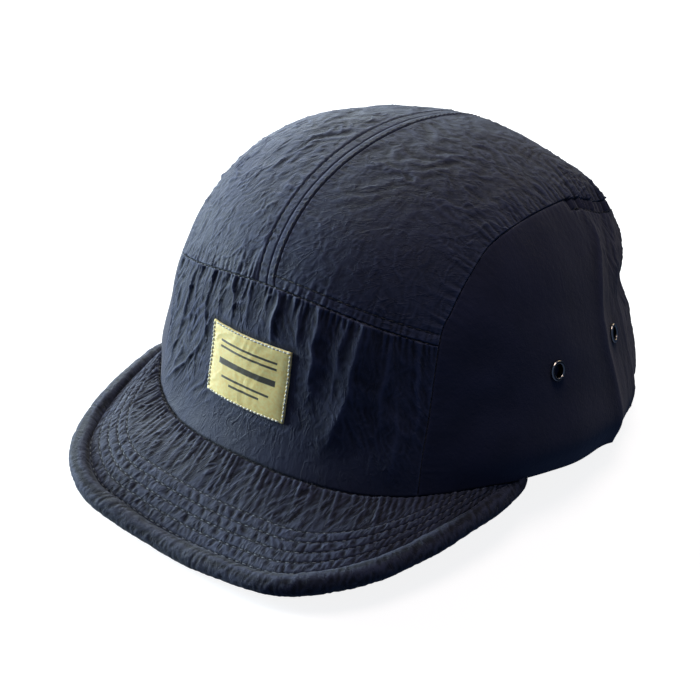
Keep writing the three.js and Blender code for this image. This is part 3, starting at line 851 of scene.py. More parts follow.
def band_relief(angle, share, points):
    t, along = from_seam(points, FRONT_LINE)
    rim_distance, _ = from_seam(points, RIM_LINE)
    ends = np.minimum(from_seam(points, SIDE_LINES[-1])[0], from_seam(points, SIDE_LINES[1])[0])
    s = np.radians(angle) * CROWN_FRONT_REACH
    lean = 0.12 - 0.006 * s
    drift = s + lean * t
    broad = smooth_step(*BROAD_ZONE, s)
    relief = band_folds(s, t, 1 - share / front_seam_share(angle))
    relief += (0.7 + 0.6 * broad) * puckers(t, along, BAND_TUCKS, lean)
    relief += (1 - broad) * puckers(t, along, LONG_TUCKS, lean + 0.1)
    busy = 0.3 + 0.12 * smooth_step(*BUSY_ZONE, s) - 0.12 * broad
    fine = 0.38 - 0.28 * broad
    relief += wrinkles(drift, t, smooth_step(*RIM_ZONE, rim_distance), BAND_SEED, [
        (0.1 * busy, busy, 0, 5.5, 14, 6, 0),
        (0.2 * fine, fine, 6, 3.4, 13, 8, 0.1),
        (0.03, 0.1, 12, 1.8, 5, -8, 0),
    ])
    flat = label_share(points)
    relief = relief * (1 - flat) - LABEL_PRESS * flat
    return close_to_seams(relief, t, ends) + seam_tucks(t, along), drift, t, 0


# The felled seam over the top, by side: the width of its strip, how far it is raised, the
# depth and width of its stitched groove, and how far its stitches lie past the strip
CENTRE_STRIP = {-1: 3.6, 1: 2.9}
STRIP_SECTION = {-1: (0.12, 1.1, 0.26), 1: (0.3, 0.8, 0.18)}
STRIP_STITCHES = {-1: 0.15, 1: -0.5}
STRIP_TUCKS = Tucks(83, 1.9, 2.2, 0.5)
CENTRE_STEPS = [
    0, 0.12, 0.26, 0.44, 0.75, 1.2, 1.7, 2.2, 2.55, 2.8, 2.95, 3.1, 3.25, 3.4, 3.55, 3.7, 3.85, 4.0, 4.4,
]


def centre_relief(side, distance, along):
    """The felled seam over the top: a raised strip on both sides, held by a stitch line."""
    strip = CENTRE_STRIP[side]
    raised, depth, width = STRIP_SECTION[side]
    relief = raised * smooth_step(strip + 0.2, strip - 0.2, distance)
    relief += groove(distance - strip - 0.15, depth, width)
    ladder = ridges(along / 2.4, distance / 9 + side, 63, 0.1)
    relief += 0.3 * ladder * smooth_step(0.3, 1.0, distance) * smooth_step(strip - 0.2, strip - 1, distance)
    outside = smooth_step(strip + 0.3, strip + 1, distance)
    return relief + outside * puckers(np.maximum(distance - strip, 0), along, STRIP_TUCKS)


# Wrinkles, as rows for wrinkles(), with the slant of the finest creases on each side
TOP_SLANT = {-1: -28, 1: 52}
TOP_SEED = {-1: 100, 1: 150}
TOP_WRINKLES = {
    -1: [
        (0.4, 0.4, 0, 7.5, 18, -28, 0), (0.36, 0.36, 7, 4.0, 10, -24, 0.13),
        (0.2, 0.2, 11, 2.1, 5, -40, 0),
    ],
    1: [
        (0.12, 0.46, 0, 8, 13, 66, 0), (0.1, 0.28, 7, 4.5, 8, 55, 0.13), (0.06, 0.2, 23, 4.6, 6, 20, 0),
        (0.14, 0.14, 13, 4.0, 9, 5, 0.13), (0.08, 0.08, 11, 1.9, 5, 20, 0),
    ],
}
COMBED_WRINKLES = [(0.42, 0.42, 17, 3.6, 16, -6, 0), (0.34, 0.34, 19, 2.8, 12, -10, 0.1)]
# Pleats across the seam at the back, the same above and below it
PLEATS_ABOVE, PLEATS_BELOW = Tucks(71, 3.5, 6, 1.5), Tucks(71, 3.5, 30, 1.5)
FRONT_TUCKS, RIGHT_TUCKS, FLANK_TUCKS = (
    Tucks(23, 2.3, 3.4, 0.55), Tucks(47, 1.7, 9, 0.4), Tucks(29, 2.8, 5, 0.7),
)
# Where wrinkles grow and then lie combed, in mm along the centre seam, and where pleats start
HIGH_ZONE, COMBED_ZONE, TOP_REAR = (30, 75), (95, 135), (95, 115)
FRONT_STRIP = 3.6


def top_relief(side, angle, share, points):
    front, front_along = from_seam(points, FRONT_LINE)
    s, t = from_seam(points, CENTRE_LINE)[0], along_centre(angle, share)
    seam, seam_along = from_seam(points, SIDE_LINES[side])
    seed = TOP_SEED[side]
    cloth = wrinkles(s, t, smooth_step(*HIGH_ZONE, t), seed, TOP_WRINKLES[side])
    if side < 0:
        cloth += puckers(front, front_along, RIGHT_TUCKS)
    else:
        low = smooth_step(*COMBED_ZONE, t)
        cloth = cloth * (1 - 0.7 * low) + low * wrinkles(s, t, 0, seed, COMBED_WRINKLES)
    rear = smooth_step(*TOP_REAR, np.abs(angle))
    cloth += puckers(front, front_along, FRONT_TUCKS, seed=seed)
    cloth += 0.8 * (1 - rear) * puckers(seam, seam_along, FLANK_TUCKS, seed=seed)
    pleats = puckers(seam, seam_along, PLEATS_ABOVE)
    cloth += rear * (1.25 * pleats - 0.45 * np.exp(-seam / 5))
    relief = smooth_step(0.5, 2.5, s - CENTRE_STRIP[side]) * cloth + centre_relief(side, s, t)
    if side > 0:
        relief += groove(front - FRONT_STRIP, 0.25, 0.4)
    return close_to_seams(relief, front, s, seam) + seam_tucks(front, front_along), s, t, TOP_SLANT[side]


REAR_BAND = 4.4
REAR_STEPS = [
    0, 0.12, 0.26, 0.44, 0.75, 1.2, 1.7, 2.3, 2.9, 3.4, 3.8, 4.1, 4.3, 4.45, 4.6, 4.8, 5.1, 5.6,
]
REAR_CROWDING = 0.12
# Soft upright folds where the side turns to the back: angle, width and height in mm
SIDE_FOLDS = [
    (98.5, 4.5, 1.7), (108, 4, -0.4), (115, 2.6, 0.6), (122, 4, -0.4), (129, 3.5, 0.7), (139, 5, 0.7),
    (150, 4, -0.5),
]
FOLD_STRENGTH = {-1: 0.45, 1: 1}
SIDE_TUCKS, PAST_TUCKS = Tucks(19, 2.8, 5, 0.7), Tucks(74, 3.4, 4, 0.5)
HEM_RUFFLES, HEM_TUCKS = Tucks(23, 4.8, 9, 1.1), Tucks(29, 2.6, 5, 1.0)
# Where the side turns to the back and where the gathered strip starts there, in degrees
SIDE_REAR, STRIP_START = (100, 122), (104, 109)
SIDE_SEED = {-1: 200, 1: 250}
SIDE_WRINKLES = [
    (0.03, 0.3, 0, 9, 26, 12, 0), (0, 0.34, 5, 4.2, 14, 25, 0.1), (0.02, 0.22, 7, 2.8, 9, -20, 0),
    (0, 0.16, 9, 3, 9, -40, 0.1),
]


def side_relief(side, angle, share, points):
    seam, along = from_seam(points, SIDE_LINES[side])
    t, rim_along = from_seam(points, RIM_LINE)
    back, _ = from_seam(points, BACK_LINE)
    s = np.radians(np.abs(angle)) * CROWN_HALF_WIDTH
    rear = smooth_step(*SIDE_REAR, np.abs(angle))
    seed = SIDE_SEED[side]
    relief = wrinkles(s, t, rear, seed, SIDE_WRINKLES)
    relief += 0.45 * (1 - rear) * noise(s / 22, t / 17, seed + 37)
    for degrees, width, height in SIDE_FOLDS:
        middle = np.radians(degrees + 15 * smooth_step(0.38, 0.6, share)) * CROWN_HALF_WIDTH
        middle += 1.5 * noise(t / 16, 0 * t, seed + 31)
        fold = np.exp(-np.abs((s - middle) / width) ** 1.3) * smooth_step(0, 14, seam)
        relief += FOLD_STRENGTH[side] * height * fold
    relief += (0.2 + 0.4 * rear) * puckers(seam, along, SIDE_TUCKS, seed=seed)

    turned = smooth_step(*STRIP_START, np.abs(angle))
    banded = turned * smooth_step(REAR_BAND, REAR_BAND - 0.3, seam)
    ladder = puckers(1.2 + 0 * seam, along, PLEATS_BELOW)
    relief = relief * (1 - banded) + banded * (ladder - 0.5) * smooth_step(0, 0.6, REAR_BAND - seam)
    past_band = np.maximum(seam - REAR_BAND, 0)
    relief += turned * puckers(past_band, along, PAST_TUCKS) * (1 - banded)
    relief += turned * groove(seam - REAR_BAND - 0.05, 0.8, 0.22)
    relief += rear * ruffles(t, rim_along, HEM_RUFFLES, seed)
    relief += 0.3 * rear * puckers(t, rim_along, HEM_TUCKS, seed=seed)
    return close_to_seams(relief, seam, back), s, t, 10


# Panels of the crown


def crowded(curve):
    """The same curve with more of its points towards its end."""
    return lambda share: curve(share + REAR_CROWDING * np.sin(math.pi * share))


def local_height(height):
    """How far each point of a relief stands above its surroundings, from -1 to 1."""
    around = height
    for _ in range(CREST_ROUNDS):
        wide = np.pad(around, 1, mode="edge")
        around = (wide[:-2] + wide[1:-1] + wide[2:]) / 3
        around = (around[:, :-2] + around[:, 1:-1] + around[:, 2:]) / 3
    return np.clip((height - around) / CREST_HEIGHT, -1, 1)


def panel(name, edges, grid, relief, steps, flip=False, holes=(), material=SHELL):
    disc = patch(edges, *grid, steps)
    angle, share = disc_place(disc)
    base, normal = on_crown(disc), crown_normal(disc)
    height, s, t, slant = relief(angle, share, base)
    points = base + normal * height[..., None]
    points[..., 2] = np.maximum(points[..., 2], FLOOR_GAP)
    both, faces = two_layers(points, base - normal * INNER_DEPTH, flip, holes)
    # Crest values for the painted shade in the creases and the painted highlight on the crests
    uv, crest = layer_uv(s, t, slant), local_height(height).ravel()
    piece = add_piece(f"{name}_cloth", both, faces, material, "shell_nylon", [name], uv, crest)
    return points


BAND_GRID, TOP_GRID, SIDE_GRID = (360, 141), (162, 360), (390, 129)
band_edges = {
    "bottom": rim_stretch(-SIDE_SEAM_ANGLE[0], SIDE_SEAM_ANGLE[0]),
    "top": FRONT_CURVE,
    "start": side_seam(-1, 0, SEAM_JUNCTION_ROW),
    "end": side_seam(1, 0, SEAM_JUNCTION_ROW),
}
band_points = panel("front_band", band_edges, BAND_GRID, band_relief, {})

top_points, side_points = {}, {}
for side_name, side in (("left", 1), ("right", -1)):
    top_edges = {
        "bottom": front_seam(CENTRE_FOOT, side * JUNCTION),
        "top": side_seam(side, SEAM_LAST_ROW, SEAM_REAR_ROW),
        "start": centre_seam,
        "end": side_seam(side, SEAM_JUNCTION_ROW, SEAM_REAR_ROW),
    }
    side_edges = {
        "bottom": crowded(rim_stretch(side * SIDE_SEAM_ANGLE[0], side * 180)),
        "top": crowded(side_seam(side, SEAM_SHOULDER_ROW, SEAM_LAST_ROW)),
        "start": side_seam(side, 0, SEAM_SHOULDER_ROW),
        "end": back_seam,
    }
    top_points[side] = panel(
        f"top_panel_{side_name}", top_edges, TOP_GRID, partial(top_relief, side),
        {"start": CENTRE_STEPS}, side < 0, material=TOP_LIT_NYLON,
    )
    side_points[side] = panel(
        f"side_panel_{side_name}", side_edges, SIDE_GRID, partial(side_relief, side),
        {"top": REAR_STEPS}, side < 0,
        [crown_point(side * angle, share) for angle, share in EYELETS.values()], SIDE_SHADED_NYLON,
    )


# Peak


def peak_edge(share):
    end = crown_point(PEAK_END_ANGLE, 0)
    end[1] -= RIM_MIDDLE_Y
    end[:2] -= ROLL_END_IN * unit(end[:2])
    end[2] -= ROLL_END_RADIUS + 0.3
    place = np.abs(share)
    across = spline([*PEAK_ACROSS, end[0]], place, -PEAK_ACROSS[1])
    forward = spline([*PEAK_FORWARD, -end[1]], place, PEAK_FORWARD[1])
    height = spline([*PEAK_HEIGHT, end[2]], place, PEAK_HEIGHT[1])
    return np.stack([np.sign(share) * across, RIM_MIDDLE_Y - forward, height], -1)


def roll_radius(share):
    to_end = smooth_step(0, ROLL_TAPER, 1 - np.abs(share))
    return ROLL_END_RADIUS + (ROLL_RADIUS - ROLL_END_RADIUS) * to_end


EDGE_STEP = 0.01


def edge_frame(share):
    """The level direction out of the peak's edge, and the one square to it and the edge."""
    before, after = np.maximum(share - EDGE_STEP, -1), np.minimum(share + EDGE_STEP, 1)
    ahead = unit(peak_edge(after) - peak_edge(before))
    out = unit(np.stack([ahead[..., 1], -ahead[..., 0], 0 * share], -1))
    return out, np.cross(out, ahead)


def peak_top(along, out):
    """The peak's upper face without its relief: along its edge and out from the rim."""
    rim = crown_point(along * PEAK_END_ANGLE, 0)
    level = rim - [0, RIM_MIDDLE_Y, 0]
    level[..., 2] = 0
    rim -= unit(level) * (CLOTH_THICKNESS + 0.5)
    rim[..., 2] += 0.4
    outward, _ = edge_frame(along)
    groove_line = peak_edge(along) - outward * (0.75 * roll_radius(along))[..., None]
    groove_line[..., 2] += PEAK_THICKNESS / 2
    point = rim + (groove_line - rim) * out[..., None]
    point[..., 2] += PEAK_BULGE * np.sin(math.pi * out) * (1 - along * along) * (1 - PEAK_TILT * along)
    return point


def grid_lengths(points, axis):
    steps = np.linalg.norm(np.diff(points, axis=axis), axis=-1)
    pad = [(0, 0), (0, 0)]
    pad[axis] = (1, 0)
    return np.pad(np.cumsum(steps, axis=axis), pad)


PEAK_COLUMNS, PEAK_ROWS = 480, 99
STITCH_ROWS = [1.4, 5.6, 9.8, 14.0, 18.2]
PEAK_SLANT = -12
PEAK_SEED = 301
PEAK_TUCKS = Tucks(321, 2.3, 7, 1.0)
PEAK_TUCK_LEAN = -0.2
PEAK_WRINKLES = [
    (0, 0.38, 0, 4.6, 18, PEAK_SLANT, 0), (0, 0.46, 4, 2.6, 14, PEAK_SLANT, 0.09),
    (0.064, 0.16, 10, 1.8, 6, PEAK_SLANT, 0),
]

along = np.linspace(-PEAK_CLOTH_END, PEAK_CLOTH_END, PEAK_COLUMNS + 1)[:, None]
out = np.linspace(0, 1, PEAK_ROWS + 1)[None, :]
peak_base = peak_top(*np.broadcast_arrays(along, out))
from_rim, from_end = grid_lengths(peak_base, 1), grid_lengths(peak_base, 0)
from_edge = from_rim[:, -1:] - from_rim
edge_line, rim_line = from_end[:, -1:] + 0 * out, from_end[:, :1] + 0 * out
wide_line = rim_line * 1.2

inner = smooth_step(STITCH_ROWS[-1], STITCH_ROWS[-1] + 2, from_edge)
relief = wrinkles(wide_line, from_rim, inner, PEAK_SEED, PEAK_WRINKLES)
past_rim = np.maximum(from_rim - PEAK_START, 0)
relief += puckers(past_rim, rim_line, PEAK_TUCKS, PEAK_TUCK_LEAN)
for index, (near, far) in enumerate(zip(STITCH_ROWS[:-1], STITCH_ROWS[1:])):
    between = np.clip((from_edge - near) / (far - near), 0, 1)
    shift = 0.4 * noise(edge_line / 7, 0 * out, index) + 0.25 * between
    ladder = ridges(edge_line / 2.2 + shift, between * 0.8 + 7 * index, 330 + index, 0.08)
    relief += np.sin(math.pi * between) ** 0.6 * (0.32 + 0.45 * ladder)
for row in STITCH_ROWS:
    relief += groove(from_edge - row, 0.3, 0.32)
relief *= smooth_step(0, 1.0, past_rim) * smooth_step(0, 0.8, from_edge)
relief += groove(from_rim - PEAK_START, 1.1, 0.75) + groove(from_edge, 0.4, 0.6)

below = PEAK_THICKNESS + 0.5 * np.minimum(relief, 0.4) * inner
below -= sum(0.35 * bump(from_edge - row, 0.7) for row in STITCH_ROWS)
below += 0.3 * (1 - inner) * ridges(edge_line / 2.6, from_edge / 5, 347, 0.1)
peak_up = unit(np.cross(np.gradient(peak_base, axis=0), np.gradient(peak_base, axis=1)))
peak_up *= np.sign(peak_up[..., 2:3])
peak_points = peak_base + peak_up * relief[..., None]
peak_under = peak_base - peak_up * below[..., None]
# The peak's crest values paint shade and highlight into its colour
peak = add_piece(
    "peak_cloth", *two_layers(peak_points, peak_under, True), PEAK, "peak_nylon", ["peak"],
    layer_uv(wide_line, from_rim, PEAK_SLANT), local_height(relief).ravel(),
)


# Rolled edge of the peak

ROLL_COLUMNS, ROLL_SIDES = 760, 28

share = np.linspace(-1, 1, ROLL_COLUMNS + 1)
centre = peak_edge(share)
level, upright = edge_frame(share)
run = lengths(centre)[:, None]
turn = np.linspace(0, 2 * math.pi, ROLL_SIDES, endpoint=False)[None, :]
round_x, round_y = np.cos(turn) * 1.4, np.sin(turn) * 1.4
wrinkle = 0.22 * ridges(run / 2.2 + 0.5 * round_x, round_y * 0.9 + run / 23, 401, 0.12)
wrinkle += 0.2 * ridges(run / 5.5 - 0.4 * round_y, round_x * 0.8 + run / 31, 402, 0.15)
wrinkle += 0.4 * noise(run / 21, round_x, 403)
tip = 1 - np.abs(share)[:, None]
radius = roll_radius(share)[:, None] * np.sqrt(np.clip(tip / ROLL_TIP, 0.01, 1))
centre[:, 2] += ROLL_END_RADIUS * (1 - smooth_step(0, 2 * ROLL_TIP, tip[:, 0]))
radius = radius + wrinkle * smooth_step(1.0, 3.0, radius)
roll_points = centre[:, None] + level[:, None] * (radius * np.cos(turn))[..., None]
roll_points += upright[:, None] * (radius * np.sin(turn))[..., None]
roll_points[..., 2] = np.maximum(roll_points[..., 2], 0.02)
roll_uv = np.stack(np.broadcast_arrays(run, 20 * np.sin(turn / 2)), -1).reshape(-1, 2)
# The roll's crest values paint shade and highlight into its colour
roll = add_piece(
    "peak_edge_roll_cloth", roll_points.reshape(-1, 3), tube_faces(ROLL_COLUMNS + 1, ROLL_SIDES),
    EDGE, "edge_nylon", ["peak_edge_roll"], roll_uv, local_height(wrinkle).ravel(),
)


# Stitches

# Length, gap and radius of each kind of stitch
CROWN_STITCH, FRONT_STITCH = (2.3, 0.8, 0.19), (1.5, 0.9, 0.24)
PEAK_STITCH, UNDER_STITCH, PEAK_SEAM_SHADOW_STITCH = (1.5, 1.4, 0.15), (1.9, 1.6, 0.15), (1.6, 1.1, 0.34)
LABEL_STITCH = (1.3, 0.25, 0.33)
# How far the stitches of the front seam and the peak's seam lie from them; the peak seam's dark stitches
# are painted shadow of that seam
FRONT_STITCH_OUT, PEAK_STITCH_OUT = 0.35, 0.3
STITCH_SIDES = 6
# Rings along a stitch, from -1 to 1, and how thick it is there
STITCH_RINGS = np.array([-1, -0.82, -0.3, 0.3, 0.82, 1])
STITCH_GIRTH = np.array([0.25, 0.85, 1, 1, 0.85, 0.25])
LINE_POINTS = 700


def surface_of(points):
    columns, rows = points.shape[0] - 1, points.shape[1] - 1
    return BVHTree.FromPolygons(points.reshape(-1, 3).tolist(), grid_faces(columns, rows))


def nearest_on(surface, points):
    return np.array([surface.find_nearest(Vector(p))[0] for p in points])


def beside_seam(curve, surface, distance, side, start=0.01, end=0.99):
    """A line on a panel at a distance from a seam, to the left of its direction or right."""
    disc = curve(np.linspace(start, end, LINE_POINTS))
    seam, normal = on_crown(disc), crown_normal(disc)
    ahead = unit(np.gradient(seam, axis=0))
    return nearest_on(surface, seam + side * distance * np.cross(normal, ahead)), normal


def line_at(measure, level, grid):
    """The points of a grid where a measure that grows along its columns reaches a level."""
    return np.array([[np.interp(level, m, g[:, k]) for k in range(3)] for m, g in zip(measure, grid)])


def stitch_line(points, normals, length, gap, radius):
    """The rings of points of each stitch in a row of stitches along a line of points."""
    along = lengths(points)
    middles = (np.arange(int(along[-1] // (length + gap))) + 0.5) * (length + gap)
    places = middles[:, None] + STITCH_RINGS * length / 2
    centre, up = (
        np.stack([np.interp(places, along, values[:, k]) for k in range(3)], -1)
        for values in (points, normals)
    )
    up = unit(up)
    aside = np.cross(unit(centre[:, -1:] - centre[:, :1]), up)
    lift = radius * (0.75 * (1 - STITCH_RINGS**2) - 0.15)
    centre = centre + up * lift[None, :, None]
    turn = np.linspace(0, 2 * math.pi, STITCH_SIDES, endpoint=False)[None, None, :, None]
    ring = up[:, :, None] * np.sin(turn) + aside[:, :, None] * np.cos(turn)
    return centre[:, :, None] + radius * STITCH_GIRTH[None, :, None, None] * ring


def add_stitches(name, lines, stitch_size, material, slot):
    stitches = np.concatenate([stitch_line(*line, *stitch_size) for line in lines])
    rings, faces = len(STITCH_RINGS), []
    for stitch in range(len(stitches)):
        faces += tube_faces(rings, STITCH_SIDES, stitch * rings * STITCH_SIDES)
    add_piece(name, stitches.reshape(-1, 3), faces, material, slot)


crown_lines = []
for side in (-1, 1):
    top_surface, side_surface = surface_of(top_points[side]), surface_of(side_points[side])
    strip = CENTRE_STRIP[side] + STRIP_STITCHES[side]
    crown_lines.append(beside_seam(centre_seam, top_surface, strip, -side))
    if side > 0:
        front_curve = front_seam(CENTRE_FOOT, side * JUNCTION)
        crown_lines.append(beside_seam(front_curve, top_surface, FRONT_STRIP, side, 0.02, 0.98))
    seam_curve = side_seam(side, 0, SEAM_LAST_ROW)
    crown_lines.append(beside_seam(seam_curve, side_surface, REAR_BAND, -side, 0.66))
add_stitches("crown_stitches", crown_lines, CROWN_STITCH, DARK_THREAD_AND_SEAM_SHADE, "shell_nylon")
front_line = beside_seam(FRONT_CURVE, surface_of(band_points), FRONT_STITCH_OUT, -1)
add_stitches("front_seam_stitches", [front_line], FRONT_STITCH, DARK_THREAD_AND_SEAM_SHADE, "shell_nylon")

peak_lines, under_lines = [], []
for row in STITCH_ROWS:
    wide = from_rim[:, -1] > row + 2.5
    top_line, under_line, up = (
        line_at(-from_edge[wide], -row, grid[wide]) for grid in (peak_points, peak_under, peak_up)
    )
    peak_lines.append((top_line, up))
    under_lines.append((under_line, -up))
add_stitches("peak_stitches", peak_lines, PEAK_STITCH, PEAK_THREAD, "peak_nylon")
add_stitches("peak_under_stitches", under_lines, UNDER_STITCH, PEAK_THREAD, "peak_nylon")
# Dark stitches along the peak's seam, as painted shadow of the puckered seam
peak_seam_shadow_line = [line_at(from_rim, PEAK_START + PEAK_STITCH_OUT, grid) for grid in (peak_points, peak_up)]
add_stitches("peak_seam_shadow_stitches", [peak_seam_shadow_line], PEAK_SEAM_SHADOW_STITCH, DARK_THREAD_AND_SEAM_SHADE, "peak_nylon")


# Label

LABEL_COLUMNS, LABEL_ROWS = 96, 72
LABEL_EDGE_IN = 0.35
PROFILE_LENGTH = 190


def label_disc(x, z):
    """The place on the disc of a point of the label, in mm from its middle."""
    x, z = LABEL_MIDDLE_X + x, LABEL_MIDDLE_Z + z
    disc = disc_point(x, 0 * x + FRONT_SEAM_SIDE)
    for _ in range(14):
        angle, share = disc_place(disc)
        point = crown_point(angle, share)
        angle = angle + np.degrees((x - point[..., 0]) / CROWN_FRONT_REACH)
        disc = disc_point(angle, share + (z - point[..., 2]) / PROFILE_LENGTH)
    return disc


label_x = np.linspace(-0.5, 0.5, LABEL_COLUMNS + 1)[:, None] * LABEL_WIDTH
label_z = np.linspace(-0.5, 0.5, LABEL_ROWS + 1)[None, :] * LABEL_HEIGHT
label_x, label_z = np.broadcast_arrays(label_x, label_z)
wander = 0.12 * noise(label_x / 6, label_z / 6, 501)
disc = label_disc(label_x + wander, label_z + wander)
inside = np.minimum(LABEL_WIDTH / 2 - np.abs(label_x), LABEL_HEIGHT / 2 - np.abs(label_z))
label_lift = LABEL_LIFT + 0.2 * noise(label_x / 15, label_z / 12, 502)
label_lift += 0.1 * crinkle(label_x, label_z, 503, 4, 12, 40)
label_lift *= 0.75 + 0.25 * smooth_step(0, 3.2, inside)
label_lift -= 0.16 * bump(inside - 0.6, 0.35)
label_points = on_crown(disc) + crown_normal(disc) * (label_lift + 0.25)[..., None]
label = add_piece(
    "label_cloth", label_points.reshape(-1, 3), grid_faces(LABEL_COLUMNS, LABEL_ROWS),
    satin(), "woven_label", ["label"],
)
thicken(label, LABEL_THICKNESS)

label_surface = surface_of(label_points)
half_w, half_h = LABEL_WIDTH / 2 - LABEL_EDGE_IN, LABEL_HEIGHT / 2 - LABEL_EDGE_IN
corners = [(-half_w, -half_h), (half_w, -half_h), (half_w, half_h), (-half_w, half_h)]
label_lines = []
for (x0, z0), (x1, z1) in zip(corners, corners[1:] + corners[:1]):
    t = np.linspace(0, 1, 60)
    disc = label_disc(x0 + (x1 - x0) * t, z0 + (z1 - z0) * t)
    up = crown_normal(disc)
    label_lines.append((nearest_on(label_surface, on_crown(disc) + up * LABEL_LIFT), up))
add_stitches("label_stitches", label_lines, LABEL_STITCH, LABEL_THREAD, "woven_label")


# Sweatband

SWEATBAND_SHARE = 0.17
SWEATBAND_INSET = 1.7
SWEATBAND_THICKNESS = 1.2
SWEATBAND_COLUMNS, SWEATBAND_ROWS = 400, 22
# The tape's foot is lifted, and sags beside the peak: depth, angle and width in degrees
TAPE_LIFT = 0.8
SAG_DEPTH, SAG_ANGLE, SAG_WIDTH = 2, 78, 9

angle = np.linspace(-180, 180, SWEATBAND_COLUMNS, endpoint=False)[:, None]
up = np.linspace(0, 1, SWEATBAND_ROWS + 1)[None, :]
disc = disc_point(angle + 0 * up, SWEATBAND_SHARE * up + 0 * angle)
outward = crown_normal(disc)
outward[..., 2] *= smooth_step(0, 0.6, up + 0 * angle)
ripple = 0.25 * ridges(angle / 2.2, up * 1.5, 601, 0.2) * smooth_step(100, 120, np.abs(angle))
tape_points = on_crown(disc) - unit(outward) * (SWEATBAND_INSET - ripple)[..., None]
sag = SAG_DEPTH * bump(np.abs(angle) - SAG_ANGLE, SAG_WIDTH)
tape_points[..., 2] += (TAPE_LIFT - sag) * (1 - smooth_step(0, 0.3, up))
tape = add_piece(
    "sweatband_cloth", tape_points.reshape(-1, 3),
    grid_faces(SWEATBAND_COLUMNS, SWEATBAND_ROWS, wraps=True), TAPE, "sweatband_tape", ["sweatband"],
)
thicken(tape, SWEATBAND_THICKNESS)


# Eyelets

EYELET_SEGMENTS = 40
# Outline of the ring: radius, height and how much of it is bright metal, as painted highlight
EYELET_PROFILE = np.array([
    (2.35, -1.6, 0), (2.35, 0.3, 0), (2.4, 0.55, 0.2), (2.5, 0.78, 0.8), (2.68, 0.95, 0.5),
    (3.0, 1.06, 0), (3.35, 0.98, 0.1), (3.55, 0.8, 0.8), (3.7, 0.56, 0.8), (3.75, 0.3, 0.1),
    (3.72, 0.12, 0), (3.5, 0.05, 0), (2.62, 0.05, 0), (2.6, -1.3, 0), (3.5, -1.45, 0),
    (3.7, -1.6, 0), (3.6, -1.8, 0), (2.5, -1.8, 0),
])


def add_eyelet(name, disc, metal):
    """A ring turned from its outline, square to the crown at a place on the disc."""
    out = crown_normal(disc)
    level = unit(np.cross(out, [0, 0, 1.0]))
    turn = np.linspace(0, 2 * math.pi, EYELET_SEGMENTS, endpoint=False)[:, None]
    aside = level * np.cos(turn) + np.cross(out, level) * np.sin(turn)
    radius, height = EYELET_PROFILE[:, 0, None, None], EYELET_PROFILE[:, 1, None, None]
    points = on_crown(disc) + aside * radius + out * height
    count = len(EYELET_PROFILE)
    index = np.arange(count * EYELET_SEGMENTS).reshape(count, EYELET_SEGMENTS)
    after, above = np.roll(index, -1, 1), np.roll(index, -1, 0)
    faces = np.stack([index, above, np.roll(above, -1, 1), after], -1).reshape(-1, 4).tolist()
    # Bright metal painted in rings where highlights fall
    painted_highlight = np.repeat(EYELET_PROFILE[:, 2], EYELET_SEGMENTS)
    add_piece(f"{name}_ring", points.reshape(-1, 3), faces, metal, "eyelet_metal", [name], crest=painted_highlight)


METAL = enamel()
for side_name, side in (("left", 1), ("right", -1)):
    for name, (angle, share) in EYELETS.items():
        add_eyelet(f"eyelet_{side_name}_{name}", disc_point(side * angle, share), METAL)


# Camera at the photograph's viewing angle

CAMERA_AZIMUTH, CAMERA_ELEVATION, CAMERA_ROLL = 34.863, 28.599, 2.679
CAMERA_DISTANCE = 474.0
CAMERA_TARGET = (1.1, -18.4, 38.3)
CAMERA_LENS = 64.68


def direction(azimuth, elevation):
    """From the middle outwards: azimuth from the front towards the wearer's left."""
    azimuth, elevation = math.radians(azimuth), math.radians(elevation)
    level = math.cos(elevation)
    return Vector((math.sin(azimuth) * level, -math.cos(azimuth) * level, math.sin(elevation)))


def add_camera():
    back, right = direction(CAMERA_AZIMUTH, CAMERA_ELEVATION), direction(CAMERA_AZIMUTH + 90, 0)
    up = back.cross(right)
    roll = math.radians(CAMERA_ROLL)
    turned_right = right * math.cos(roll) + up * math.sin(roll)
    turned_up = up * math.cos(roll) - right * math.sin(roll)
    data = bpy.data.cameras.new("camera")
    data.sensor_width = 36
    data.lens = CAMERA_LENS
    data.clip_start, data.clip_end = 0.01, 20
    camera = bpy.data.objects.new("camera", data)
    place = (Vector(CAMERA_TARGET) + back * CAMERA_DISTANCE) * MM
    turned = Matrix((turned_right, turned_up, back)).transposed().to_4x4()
    camera.matrix_world = Matrix.Translation(place) @ turned
    bpy.context.scene.collection.objects.link(camera)
    bpy.context.scene.camera = camera


add_camera()


# Floor and light

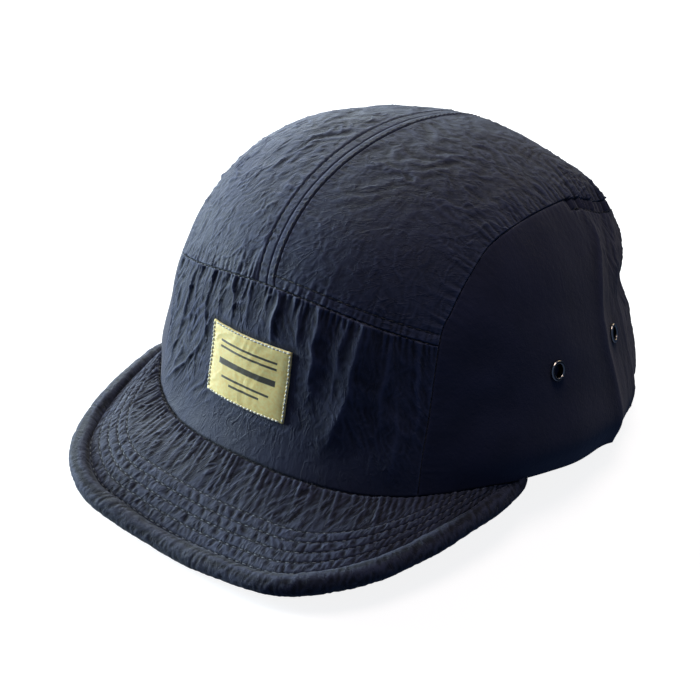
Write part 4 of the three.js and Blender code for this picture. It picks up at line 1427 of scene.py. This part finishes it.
FLOOR_HALF, FLOOR_DEPTH = 6.0, 0.0004
LIGHT_DISTANCE, LIGHT_SIZE = 1.5, 0.8
LIGHT_AIM = Vector((0, 0, 0.05))
# Lights: azimuth, elevation, power and colour
LIGHTS = {
    "window": (-75, 8, 57, (0.76, 0.92, 1)),
    "window_back": (-125, 15, 17.5, (0.77, 0.88, 1)),
    "sky": (-125, 40, 9.5, (0.98, 1, 0.82)),
    "ceiling": (0, 90, 7.5, (1, 0.85, 0.76)),
    "behind": (180, 30, 2, (1, 0.8, 0.5)),
}
SKY_COLOR, SKY_STRENGTH = (0.36, 0.55, 1, 1), 0.14


def add_light(name, azimuth, elevation, power, color):
    data = bpy.data.lights.new(name, "AREA")
    data.shape = "DISK"
    data.size = LIGHT_SIZE
    data.energy = power
    data.color = color
    light = bpy.data.objects.new(name, data)
    outwards = direction(azimuth, elevation)
    light.location = LIGHT_AIM + outwards * LIGHT_DISTANCE
    light.rotation_mode = "QUATERNION"
    light.rotation_quaternion = (-outwards).to_track_quat("-Z", "Y")
    bpy.context.scene.collection.objects.link(light)


def add_floor():
    mesh = bpy.data.meshes.new("floor")
    half = FLOOR_HALF
    corners = [(-half, -half, 0), (half, -half, 0), (half, half, 0), (-half, half, 0)]
    mesh.from_pydata(corners, [], [(0, 1, 2, 3)])
    floor = bpy.data.objects.new("floor", mesh)
    floor.location.z = -FLOOR_DEPTH
    floor.visible_diffuse = False
    floor.visible_glossy = False
    bpy.context.scene.collection.objects.link(floor)
    look = Look("floor", (0.4, 0.4, 0.41), 0.9, Emission_Strength=0.86)
    look.finish({"Emission Color": (1, 1, 1, 1)})
    mesh.materials.append(look.material)


def add_sky():
    world = bpy.data.worlds.new("studio")
    world.use_nodes = True
    background = world.node_tree.nodes["Background"]
    background.inputs["Color"].default_value = SKY_COLOR
    background.inputs["Strength"].default_value = SKY_STRENGTH
    bpy.context.scene.world = world


add_floor()
add_sky()
for name, row in LIGHTS.items():
    add_light(name, *row)
bpy.context.scene.view_settings.view_transform = "Standard"
